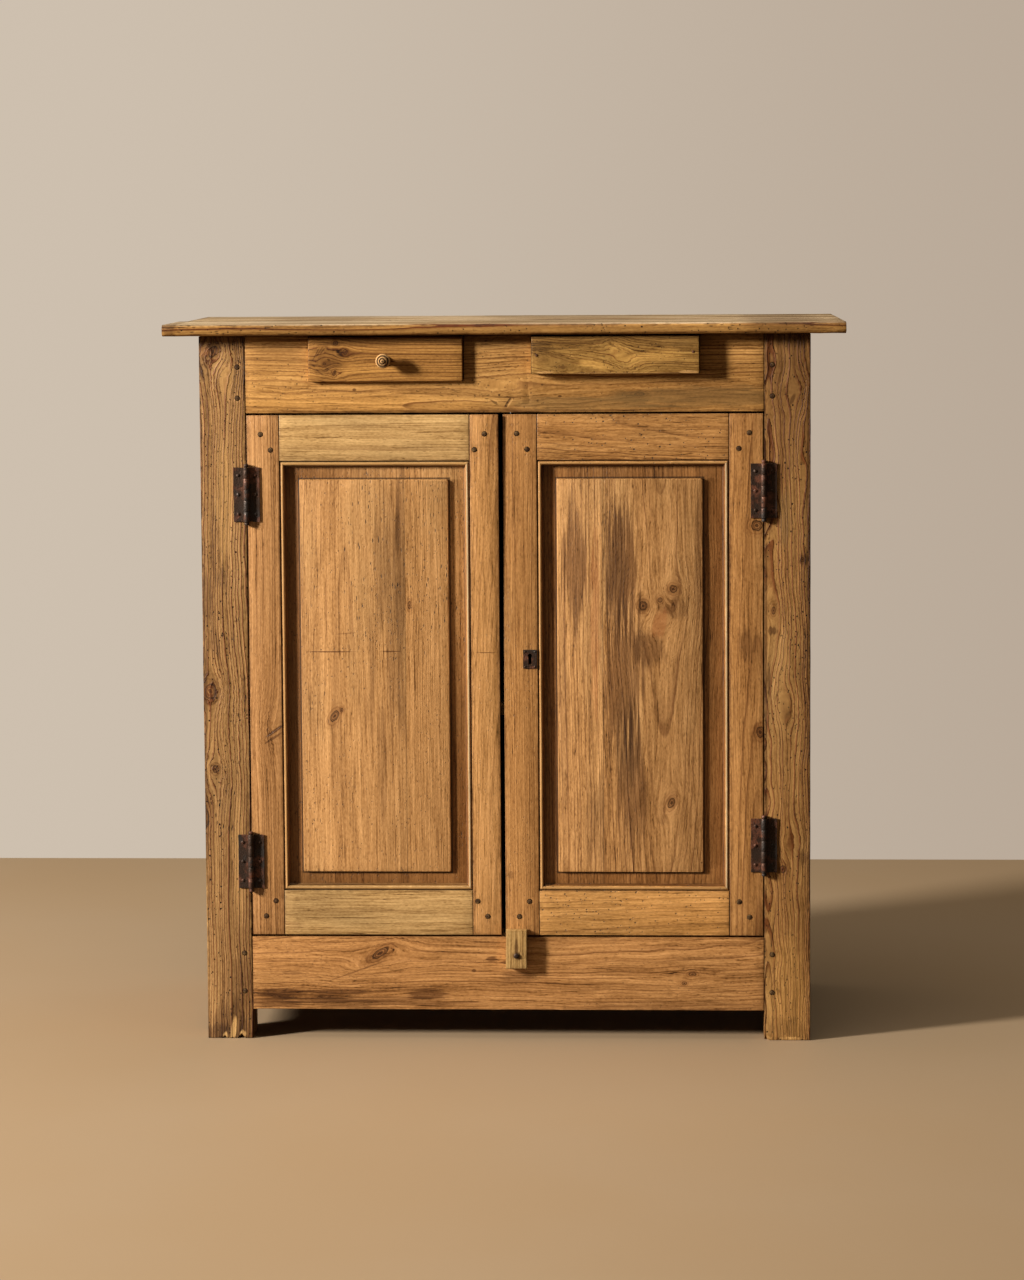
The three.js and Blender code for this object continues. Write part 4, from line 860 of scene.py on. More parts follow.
# The looks of each board are given in metres. pine() says what their values are.
POST_LOOKS = {
    "left": dict(
        heart=(-0.17, 0.03), spacing=4.4 * MM, contrast=2.7, figure=0.03, ripple=0.006, streaks=1.1,
        mottle=0.1, ridges=1.3, worms=1.0, pits=1.0, rim=0.7,
        knots=[
            (-0.4785, 1.146, 0.006, 0.010, 0.5), (-0.490, 0.584, 0.009, 0.012, 0.0),
            (-0.483, 0.454, 0.005, 0.006, 0.0), (-0.503, 0.372, 0.008, 0.018, 0.0),
        ],
        swirls=[
            (-0.4785, 1.140, 0.02, 0.028, 0.2), (-0.4567, 1.112, 0.014, 0.03, 0.2),
            (-0.490, 0.584, 0.02, 0.035, 0.0), (-0.483, 0.454, 0.017, 0.04, 0.0),
        ],
        stains=[
            (-0.495, 0.736, 0.010, 0.05, 0.0, 0.6), (-0.46, 0.02, 0.05, 0.04, 0.0, 0.6),
            (-0.468, 0.77, 0.012, 0.02, 0.0, 0.4), (-0.485, 0.01, 0.05, 0.016, 0.0, 0.7),
            (-0.500, 0.60, 0.006, 0.5, 0.0, 0.5), (-0.482, 0.663, 0.012, 0.03, 0.0, 0.4),
            # The first stain on the next line, at height 1.174, is painted shade beneath the top's
            # overhang, with grime
            (-0.4635, 1.174, 0.1, 0.022, 0.0, 0.55), (-0.492, 1.13, 0.012, 0.03, 0.3, 0.4),
            (-0.478, 0.43, 0.02, 0.05, 0.0, 0.3), (-0.448, 0.09, 0.02, 0.05, 0.0, 0.4),
            (-0.4983, 1.12, 0.003, 0.03, -0.3, 0.7), (-0.4275, 1.108, 0.0015, 0.06, 0.0, 0.8),
            (-0.478, 0.84, 0.0015, 0.09, 0.02, 0.6), (-0.465, 0.28, 0.07, 0.42, 0.0, 0.22),
        ],
        patches=[
            (-0.492, 1.147, 0.010, 0.009, 0.9, 0.2, "red_wood"),
            (-0.4935, 0.584, 0.010, 0.013, 0.0, 0.15, "red_wood"),
            (-0.4584, 0.013, 0.0045, 0.022, 0.1, 1.0, "bare_wood"),
            (-0.4725, 0.004, 0.005, 0.007, 0.0, 0.9, "bare_wood"),
            (-0.443, 0.006, 0.006, 0.009, 0.3, 0.9, "bare_wood"),
            (-0.5005, 0.20, 0.0016, 0.12, 0.0, 0.8, "bare_wood"),
            (-0.463, 0.90, 0.015, 0.12, 0.0, 0.35, "bare_wood"),
            (-0.447, 0.30, 0.01, 0.12, 0.0, 0.3, "bare_wood"),
            (-0.457, 1.10, 0.012, 0.03, 0.1, 0.4, "bare_wood"),
        ],
    ),
    "right": dict(
        heart=(-0.03, -0.012), tilt=0.03, spacing=4.8 * MM, contrast=3.0, figure=0.045, ripple=0.012,
        streaks=1.0, mottle=0.4, ridges=1.1, worms=1.0, pits=0.8, rim=0.7,
        knots=[
            (0.4406, 0.7176, 0.003, 0.006, 0.0), (0.4559, 0.288, 0.005, 0.006, 0.0),
            (0.4876, 0.801, 0.003, 0.004, 0.0),
        ],
        swirls=[
            (0.4406, 0.7176, 0.010, 0.022, 0.0), (0.4679, 0.331, 0.014, 0.026, 0.2),
            (0.436, 0.80, 0.012, 0.05, 0.0), (0.472, 1.075, 0.02, 0.03, 0.3),
            (0.461, 0.560, 0.014, 0.03, 0.0), (0.487, 0.95, 0.010, 0.05, 0.0),
        ],
        stains=[
            (0.4385, 0.684, 0.009, 0.007, 0.0, 0.9), (0.433, 0.88, 0.010, 0.05, 0.0, 0.6),
            (0.490, 0.306, 0.008, 0.016, 0.0, 0.6), (0.4395, 0.18, 0.0012, 0.05, 0.12, 0.95),
            # The second stain on the next line, at height 1.174, is painted shade beneath the top's
            # overhang, with grime
            (0.465, 1.08, 0.06, 0.16, 0.0, 0.45), (0.4635, 1.174, 0.1, 0.022, 0.0, 0.55),
            (0.499, 0.7, 0.005, 0.45, 0.0, 0.5), (0.429, 0.55, 0.002, 0.4, 0.0, 0.7),
            (0.490, 0.801, 0.010, 0.012, 0.0, 0.5), (0.4335, 0.60, 0.003, 0.03, 0.0, 0.8),
            (0.472, 1.065, 0.004, 0.012, 0.4, 0.8), (0.464, 0.02, 0.03, 0.02, 0.0, 0.5),
            (0.497, 0.9, 0.004, 0.2, 0.0, 0.5),
        ],
        patches=[
            (0.432, 0.003, 0.006, 0.005, 0.0, 1.0, "bare_wood"),
            (0.47, 0.002, 0.02, 0.004, 0.0, 0.9, "bare_wood"),
            (0.455, 0.60, 0.014, 0.10, 0.0, 0.25, "bare_wood"),
            (0.46, 0.87, 0.012, 0.05, 0.0, 0.5, "grey_wood"),
            (0.465, 0.07, 0.04, 0.11, 0.0, 0.35, "gold_wood"),
        ],
    ),
}
# Place across, height and depth of each chip at the foot of a post
FOOT_CHIPS = {
    "left": ((-0.4735, 5 * MM, 4 * MM), (-0.4455, 8 * MM, 5 * MM), (-0.461, 3 * MM, 3 * MM)),
    "right": ((0.4275, 7 * MM, 5 * MM), (0.452, 2.5 * MM, 3 * MM), (0.488, 3 * MM, 3 * MM)),
}


class CUPBOARD_OT_posts(bpy.types.Operator):
    """Make the four corner posts"""

    bl_idname = "cupboard.posts"
    bl_label = "Posts"

    def execute(self, context):
        sizes, tones = context.scene.cupboard_sizes, context.scene.cupboard_tones
        for side in SIDES:
            colour = getattr(tones, f"{side}_post")
            low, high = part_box(f"post_front_{side}")
            piece = board(f"{side}_front_post", low, high, "Z")
            self.drill(piece, side)
            finish = pine(f"{side}_post_pine", colour, low, high, **POST_LOOKS[side])
            finish_piece(piece, finish, "carcass", "post_pine", f"post_front_{side}")
            node = f"post_back_{side}"
            low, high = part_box(node)
            piece = eased_copy(f"{side}_back_post", node, sizes.ease, "Z")
            finish = pine(
                f"{side}_back_post_pine", colour, low, high,
                heart=(0.1, 0.05), ridges=0.3, contrast=1.0,
            )
            finish_piece(piece, finish, "carcass", "post_pine", node)
        return {"FINISHED"}

    def drill(self, piece, side):
        """Holes round the pegs of the frieze and the bottom rail, and chips out of the foot."""
        radius = bpy.context.scene.cupboard_sizes.peg_radius + PEG_CLEARANCE
        bore(piece, [
            start_rod("hole", (x, FRONT, z), radius, 24 * MM, "Y", 16)
            for x, z in body_pegs() if (x < 0) == (side == "left")
        ])
        for x, tall, deep in FOOT_CHIPS[side]:
            bore(piece, [chip((x, FRONT, 0), tall, deep)])


def gouge(x, z, length, width, deep, lean):
    """Cutter of a long scar in the front, which leans from upright towards the right."""
    cutter = start_rod("gouge", (x, FRONT, z), width / 2, length, "Z", 8)
    edit(cutter)
    pick("FACE", lambda face: abs(face.normal.z) > 0.9)
    bpy.ops.transform.resize(value=(0.3, 0.3, 1), center_override=(x, FRONT, z))
    bpy.ops.mesh.select_all(action="SELECT")
    bpy.ops.transform.resize(value=(1, deep * 2 / width, 1), center_override=(x, FRONT, z))
    bpy.ops.transform.rotate(value=-lean, orient_axis="Y", center_override=(x, FRONT, z))
    deselect()
    return cutter


def chip(place, tall, deep):
    """Cutter of a chip: a bar with four sides, on edge, that leans into the front at a place."""
    cutter = start_rod("chip", place, tall, deep * 3, "Y", 4)
    edit(cutter)
    bpy.ops.transform.rotate(value=0.5, orient_axis="X", center_override=place)
    deselect()
    return cutter


def body_pegs():
    """Places of the pegs in the front posts, from the heights of the two rails."""
    places = []
    for node, shares in BODY_PEG_SHARES.items():
        low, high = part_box(node)
        for share in shares:
            for sign in (-1, 1):
                places.append((sign * (POST_INNER + BODY_PEG_INSET), low.z + (high.z - low.z) * share))
    return places


def make_pegs(name, places, body):
    """Pegs at places on the front, each a little different, joined in one piece."""
    sizes = bpy.context.scene.cupboard_sizes
    tones = bpy.context.scene.cupboard_tones
    pegs = []
    for x, z in places:
        stray = noise.noise(Vector((x, z, 0)) * 91)
        radius = sizes.peg_radius * (1 + 0.12 * stray)
        centre = (x, FRONT - sizes.peg_rise + 5 * MM, z)
        peg = start_rod("peg", centre, radius, 10 * MM, "Y", 9)
        ease(peg, 0.8 * MM)
        edit(peg)
        bpy.ops.transform.rotate(value=stray * 2, orient_axis="Y", center_override=centre)
        deselect()
        pegs.append(peg)
    piece = join(pegs)
    piece.name = name
    finish = material_of("peg_end_grain", plain_wood, "peg_end_grain", tones.peg, (200, 200, 200))
    finish_piece(piece, finish, body, "frame_pine")


RAIL_LOOKS = {
    "frieze": dict(
        heart=(-0.05, 0.02), tilt=0.02, spacing=5.6 * MM, contrast=0.95, figure=0.035, ripple=0.005,
        streaks=1.0, mottle=0.25, ridges=0.25, pits=0.5, worms=0.5,
        knots=[(0.222, 1.074, 0.008, 0.003, 0.0)],
        swirls=[(-0.37, 1.09, 0.05, 0.012, 0.1), (0.01, 1.09, 0.06, 0.014, 0.0)],
        stains=[
            (0.0062, 1.061, 0.0022, 0.011, 0.6, 1.0), (-0.0154, 1.061, 0.009, 0.0020, 0.6, 1.0),
            (0.0, 1.0695, 0.03, 0.0014, 0.05, 0.8), (0.03, 1.058, 0.02, 0.002, -0.1, 0.6),
            (-0.2456, 1.083, 0.004, 0.0025, 0.0, 1.0), (0.0917, 1.071, 0.004, 0.0025, 0.0, 1.0),
            # The first stain on the next line is painted shade beneath the top's overhang, with grime
            (0.0, 1.174, 0.9, 0.024, 0.0, 0.6), (0.33, 1.09, 0.08, 0.012, 0.0, 0.35),
            (-0.37, 1.14, 0.06, 0.02, 0.0, 0.35), (-0.30, 1.083, 0.10, 0.0012, 0.05, 0.6),
            (-0.38, 1.09, 0.05, 0.0015, 0.06, 0.5), (0.0, 1.0475, 0.42, 0.0025, 0.0, 0.7),
            (0.0056, 1.0615, 0.0013, 0.010, 0.6, 1.0), (0.0040, 1.0546, 0.0020, 0.0016, 0.0, 1.0),
            (-0.0076, 1.0731, 0.0026, 0.0022, 0.0, 1.0), (-0.0076, 1.0731, 0.0020, 0.0018, 0.0, 1.0),
            (-0.0282, 1.0676, 0.0040, 0.0013, 0.0, 1.0), (-0.0347, 1.0707, 0.0024, 0.0010, 0.0, 0.8),
            (0.0553, 1.0638, 0.0024, 0.0024, 0.0, 1.0), (0.0621, 1.0593, 0.0014, 0.0012, 0.0, 0.9),
            (0.0248, 1.0601, 0.0013, 0.0012, 0.0, 1.0), (0.0019, 1.0860, 0.0014, 0.0013, 0.0, 0.9),
            (-0.0126, 1.0614, 0.0022, 0.0012, -0.9, 1.0), (-0.0526, 1.0528, 0.0018, 0.0014, 0.0, 0.7),
        ],
        patches=[
            (0.33, 1.069, 0.19, 0.018, 0.0, 0.6, "grey_wood"),
            (0.14, 1.060, 0.16, 0.013, 0.0, 0.5, "grey_wood"),
            (-0.22, 1.062, 0.26, 0.016, 0.0, 0.35, "gold_wood"),
            (0.0105, 1.061, 0.0018, 0.010, 0.6, 1.0, "bare_wood"),
            (-0.013, 1.064, 0.006, 0.0012, 0.5, 0.8, "bare_wood"),
        ],
    ),
    "bottom_rail": dict(
        heart=(0.06, 0.03), tilt=-0.015, spacing=5.8 * MM, contrast=0.8, figure=0.035, ripple=0.006,
        streaks=0.9, mottle=0.2, ridges=0.2, pits=0.3, worms=0.3,
        knots=[
            (-0.212, 0.145, 0.015, 0.0055, -0.55), (0.3067, 0.111, 0.006, 0.003, 0.0),
            (0.293, 0.0957, 0.004, 0.003, 0.0),
        ],
        swirls=[(-0.214, 0.141, 0.045, 0.018, -0.3), (0.30, 0.105, 0.03, 0.01, 0.0)],
        stains=[
            (-0.3766, 0.076, 0.045, 0.012, 0.0, 0.85), (-0.2847, 0.078, 0.05, 0.010, 0.0, 0.8),
            (-0.1344, 0.076, 0.035, 0.009, 0.0, 0.85), (-0.39, 0.062, 0.05, 0.014, 0.0, 0.8),
            (-0.20, 0.062, 0.16, 0.010, 0.0, 0.6), (-0.33, 0.066, 0.10, 0.006, 0.0, 0.7),
            (-0.36, 0.112, 0.02, 0.004, 0.0, 0.5), (-0.056, 0.116, 0.004, 0.003, 0.0, 0.9),
            (0.0, 0.129, 0.012, 0.005, 0.0, 0.9), (-0.25, 0.115, 0.07, 0.0015, -0.35, 0.6),
            (0.0146, 0.105, 0.03, 0.012, 0.0, 0.5), (-0.0263, 0.136, 0.010, 0.005, 0.0, 0.9),
            (0.26, 0.056, 0.18, 0.010, 0.0, 0.45), (-0.220, 0.138, 0.024, 0.010, -0.55, 0.35),
        ],
    ),
}
# Place, length, width, depth and lean of each scar
FRIEZE_SCARS = (
    (0.0077, 1.0611, 19 * MM, 2.6 * MM, 2.2 * MM, 0.6),
    (-0.0154, 1.0613, 15 * MM, 2.2 * MM, 1.8 * MM, -0.9),
    (-0.004, 1.0695, 40 * MM, 1.4 * MM, 1.2 * MM, -1.5),
    (0.03, 1.058, 24 * MM, 1.6 * MM, 1.2 * MM, 1.4),
)


class CUPBOARD_OT_front_rails(bpy.types.Operator):
    """Make the frieze rail with its drawer notches, the bottom rail, and their pegs"""

    bl_idname = "cupboard.front_rails"
    bl_label = "Front rails"

    def execute(self, context):
        sizes, tones = context.scene.cupboard_sizes, context.scene.cupboard_tones
        gap = sizes.joint_gap
        for node, name in (("frieze_rail", "frieze"), ("bottom_rail", "bottom_rail")):
            low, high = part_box(node)
            low.x, high.x = -POST_INNER + gap, POST_INNER - gap
            high.y = FRONT + FRONT_RAIL_THICKNESS
            piece = board(name, low, high, "X")
            if node == "frieze_rail":
                bore(piece, [self.notch(side) for side in SIDES])
                for scar in FRIEZE_SCARS:
                    bore(piece, [gouge(*scar)])
            finish = pine(f"{name}_pine", getattr(tones, name), low, high, "X", **RAIL_LOOKS[name])
            finish_piece(piece, finish, "carcass", "frame_pine", node)
        make_pegs("body_pegs", body_pegs(), "carcass")
        return {"FINISHED"}

    def notch(self, side):
        """Block as large as the notch of a drawer."""
        low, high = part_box(f"drawer_front_{side}")
        bed_low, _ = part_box(f"drawer_bed_{side}")
        slack = 1.2 * MM
        return start_block(
            "notch", (low.x - slack, FRONT - 0.1, low.z - 0.3 * MM), (high.x + slack, bed_low.y + 0.1, 2),
        )


TOP_LOOKS = dict(
    heart=(-0.10, 0.03), spacing=6.5 * MM, contrast=1.1, figure=0.02, streaks=1.2, mottle=0.6,
    ridges=0.3, pits=1.0, worms=1.0, rim=0.9, soak=10,
    stains=[
        (-0.32, 1.18, 0.10, 0.1, 0.0, 0.3), (0.10, 1.18, 0.16, 0.1, 0.0, 0.3),
        (0.46, 1.18, 0.07, 0.1, 0.0, 0.5), (-0.545, 1.18, 0.012, 0.1, 0.0, 0.6),
        (0.0, 1.1725, 0.60, 0.0022, 0.0, 0.7),
    ],
)
TOP_NAIL_HOLES = ((-0.478, -0.165), (-0.43, -0.06), (0.478, -0.12), (0.0, -0.19))


class CUPBOARD_OT_top(bpy.types.Operator):
    """Make the two boards of the top"""

    bl_idname = "cupboard.top"
    bl_label = "Top"

    def execute(self, context):
        sizes, tones = context.scene.cupboard_sizes, context.scene.cupboard_tones
        low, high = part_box("top_board_front")
        piece = start_block("top_front", low, high)
        edit(piece)
        pick("EDGE", lambda edge: middle(edge).y < low.y + MM and abs(middle(edge).x) < 0.1)
        bpy.ops.mesh.bevel(offset=sizes.nose_radius, segments=5, affect="EDGES")
        deselect()
        cross_cuts(piece, "X", sizes.rows)
        ease(piece, 1.6 * MM, 2, 50)
        weather(piece, 1.3 * MM, 0.03)
        bore(piece, [
            start_rod("nail_hole", (x, y, high.z), 2.2 * MM, 14 * MM, "Z", 12)
            for x, y in TOP_NAIL_HOLES
        ])
        # The front, ends and underside of the top are darkened below its upper face: partly the wood's own
        # colour, partly painted shade
        tone_and_shade_below = (high.z - 2.4 * MM, TOP_SIDES_TONE_AND_SHADE)
        finish = pine("top_front_pine", tones.top, low, high, "X", tone_and_shade_below=tone_and_shade_below, **TOP_LOOKS)
        finish_piece(piece, finish, "carcass", "top_pine", "top_board_front")
        low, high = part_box("top_board_back")
        piece = board("top_back", low, high, "X")
        looks = {**TOP_LOOKS, "heart": (0.08, 0.06), "mottle": 0.9}
        finish = pine("top_back_pine", tones.top, low, high, "X", tone_and_shade_below=tone_and_shade_below, **looks)
        finish_piece(piece, finish, "carcass", "top_pine", "top_board_back")
        return {"FINISHED"}


# Doors

# Axis of the length, and slot, of each kind of member
ALONG = {"stile": "Z", "rail": "X"}
DOOR_SLOTS = {"stile": "frame_pine", "rail": "door_rail_pine"}
DOOR_LOOKS = {
    "left": {
        "left_stile": dict(
            heart=(0.14, 0.02), spacing=3.8 * MM, contrast=0.75, streaks=0.9, mottle=0.1, ridges=0.08,
            pits=0.2, worms=0.15,
            stains=[
                (-0.3835, 0.518, 0.0034, 0.020, 0.95, 1.0), (-0.386, 0.506, 0.0026, 0.020, 1.0, 0.8),
                (-0.40, 0.58, 0.06, 0.60, 0.0, 0.14),
            ],
            swirls=[(-0.372, 0.52, 0.022, 0.04, 0.0)],
        ),
        "right_stile": dict(
            heart=(0.03, 0.03), tilt=0.03, spacing=4.2 * MM, contrast=0.6, streaks=0.7, mottle=0.15,
            ridges=0.1, pits=0.3, worms=0.3,
            stains=[(-0.0318, 0.6488, 0.020, 0.0011, 0.0, 1.0), (-0.013, 0.75, 0.004, 0.3, 0.0, 0.5)],
            patches=[(-0.03, 0.58, 0.05, 0.60, 0.0, 0.3, "gold_wood")],
        ),
        "top_rail": dict(
            heart=(0.02, 0.05), tilt=0.02, spacing=7.5 * MM, contrast=0.38, figure=0.008, streaks=0.6,
            mottle=0.45, ridges=0.05, pits=0.1, worms=0.1,
        ),
        "bottom_rail": dict(
            heart=(-0.02, 0.05), tilt=-0.03, spacing=9.0 * MM, contrast=0.28, figure=0.012, streaks=0.6,
            mottle=0.6, ridges=0.05, pits=0.1, worms=0.1,
        ),
    },
    "right": {
        "left_stile": dict(
            heart=(-0.15, 0.02), spacing=4.2 * MM, contrast=0.6, streaks=0.6, mottle=0.2, ridges=0.12,
            pits=0.3, worms=0.3, stains=[(0.007, 0.277, 0.005, 0.007, 0.0, 0.5)],
        ),
        "right_stile": dict(
            heart=(0.02, 0.06), tilt=0.02, spacing=4.2 * MM, contrast=0.7, figure=0.014, streaks=0.6,
            mottle=0.2, ridges=0.12, pits=0.2, worms=0.2,
            knots=[(0.413, 0.858, 0.009, 0.008, 0.0), (0.419, 0.516, 0.006, 0.009, 0.0)],
            stains=[(0.396, 0.6625, 0.014, 0.03, 0.0, 0.6)],
        ),
        "top_rail": dict(
            heart=(0.03, 0.04), tilt=0.05, spacing=6.3 * MM, contrast=0.78, figure=0.018, ripple=0.004,
            streaks=0.7, mottle=0.35, ridges=0.2, pits=0.4, worms=0.9,
            stains=[(0.20, 0.99, 0.35, 0.08, 0.0, 0.15)],
        ),
        "bottom_rail": dict(
            heart=(-0.05, 0.04), tilt=0.02, spacing=6.0 * MM, contrast=0.56, figure=0.014, streaks=0.7,
            mottle=0.35, ridges=0.15, pits=0.4, worms=0.9,
            patches=[(0.20, 0.20, 0.35, 0.08, 0.0, 0.35, "gold_wood")],
        ),
    },
}
PANEL_LOOKS = {
    "left": dict(
        heart=(-0.05, 0.07), tilt=0.01, spacing=4.2 * MM, contrast=0.28, figure=0.012, streaks=0.55,
        mottle=0.3, ridges=0.08, pits=1.0, worms=0.5, joints=[(-0.1655, 0.12)],
        knots=[
            (-0.2845, 0.542, 0.0052, 0.0095, 0.55), (-0.2726, 0.552, 0.0025, 0.0035, 0.5),
            (-0.1584, 0.7264, 0.003, 0.006, 0.0),
        ],
        stains=[
            (-0.207, 0.79, 0.012, 0.13, 0.0, 0.4), (-0.2885, 0.6495, 0.045, 0.0016, 0.0, 0.9),
            (-0.19, 0.650, 0.02, 0.0014, 0.0, 0.9), (-0.2633, 0.680, 0.022, 0.0012, -0.08, 0.5),
            (-0.187, 0.70, 0.012, 0.22, 0.0, 0.4), (-0.222, 0.60, 0.006, 0.12, 0.0, 0.35),
            (-0.178, 0.84, 0.006, 0.08, 0.0, 0.5), (-0.205, 0.46, 0.010, 0.12, 0.0, 0.35),
            (-0.335, 0.60, 0.004, 0.3, 0.0, 0.3), (-0.28, 0.50, 0.012, 0.16, 0.0, 0.2),
            (-0.1735, 0.78, 0.009, 0.30, 0.0, 0.55),
        ],
    ),
    "right": dict(
        heart=(0.1065, 0.045), tilt=-0.045, spacing=5.4 * MM, contrast=0.75, figure=0.014, ripple=0.003,
        streaks=0.8, mottle=0.35, ridges=0.12, pits=0.4, worms=0.2, joints=[(0.1601, -0.02)],
        knots=[
            (0.2268, 0.7248, 0.006, 0.007, 0.0), (0.2548, 0.7347, 0.0035, 0.004, 0.0),
            (0.2768, 0.7526, 0.006, 0.006, 0.4), (0.2726, 0.397, 0.005, 0.008, 0.4),
        ],
        swirls=[
            (0.2268, 0.7248, 0.013, 0.022, 0.0), (0.258, 0.70, 0.022, 0.035, 0.4),
            (0.2768, 0.7526, 0.012, 0.020, 0.0), (0.2726, 0.397, 0.014, 0.03, 0.2),
        ],
        stains=[
            (0.1155, 0.79, 0.024, 0.115, 0.0, 0.8), (0.190, 0.785, 0.031, 0.120, 0.0, 0.9),
            (0.192, 0.60, 0.036, 0.14, 0.03, 0.75), (0.208, 0.43, 0.028, 0.14, 0.0, 0.75),
            (0.236, 0.655, 0.028, 0.035, -0.6, 0.7), (0.3225, 0.2974, 0.0018, 0.0018, 0.0, 1.0),
            (0.16, 0.36, 0.03, 0.09, 0.0, 0.35), (0.318, 0.80, 0.008, 0.11, 0.0, 0.5),
            (0.21, 0.49, 0.014, 0.06, 0.0, 0.5), (0.283, 0.72, 0.015, 0.02, 0.0, 0.45),
            (0.095, 0.55, 0.008, 0.30, 0.0, 0.3), (0.2268, 0.7248, 0.012, 0.014, 0.0, 0.4),
        ],
        patches=[
            (0.2548, 0.695, 0.012, 0.03, 0.3, 0.4, "red_wood"),
            (0.148, 0.70, 0.008, 0.15, 0.0, 0.3, "red_wood"),
        ],
    ),
}


class CUPBOARD_OT_doors(bpy.types.Operator):
    """Make the frames, panels and pegs of both doors"""

    bl_idname = "cupboard.doors"
    bl_label = "Doors"

    def execute(self, context):
        tones = context.scene.cupboard_tones
        # Painted shade, with grime, from 3.5 to 6 mm behind the front of each door frame
        dirt_and_shade = (FRONT + 3.5 * MM, FRONT + 6 * MM, FRAME_RECESS_DIRT_AND_SHADE)
        for side in SIDES:
            door = Door(side)
            made = []
            for part, looks in DOOR_LOOKS[side].items():
                kind = part.split("_")[1]
                piece, node = door.member(part)
                finish = pine(
                    f"{piece.name}_pine", getattr(tones, f"{side}_{kind}"), *door.boxes[part], ALONG[kind],
                    deep=dirt_and_shade, bead=door.bead(part), wax=1.0, **looks,
                )
                made.append((piece, finish, DOOR_SLOTS[kind], node))
            panel, node, field = door.panel()
            low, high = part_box(node)
            finish = pine(
                f"{side}_panel_pine", getattr(tones, f"{side}_panel"), low, high, "Z",
                # Painted shade, with grime, in the sunk margin round the raised field
                deep=(low.y + 2 * MM, low.y + 5 * MM, PANEL_RECESS_DIRT_AND_SHADE[side]), field=field, wax=0.6,
                **PANEL_LOOKS[side],
            )
            made.append((panel, finish, "panel_pine", node))
            if side == "left":
                for piece, *_ in made:
                    wind(piece)
            for piece, finish, slot, node in made:
                finish_piece(piece, finish, f"door_{side}", slot, node)
            make_pegs(f"{side}_door_pegs", door.pegs(), f"door_{side}")
            if side == "left":
                wind(bpy.data.objects["left_door_pegs"])
        return {"FINISHED"}


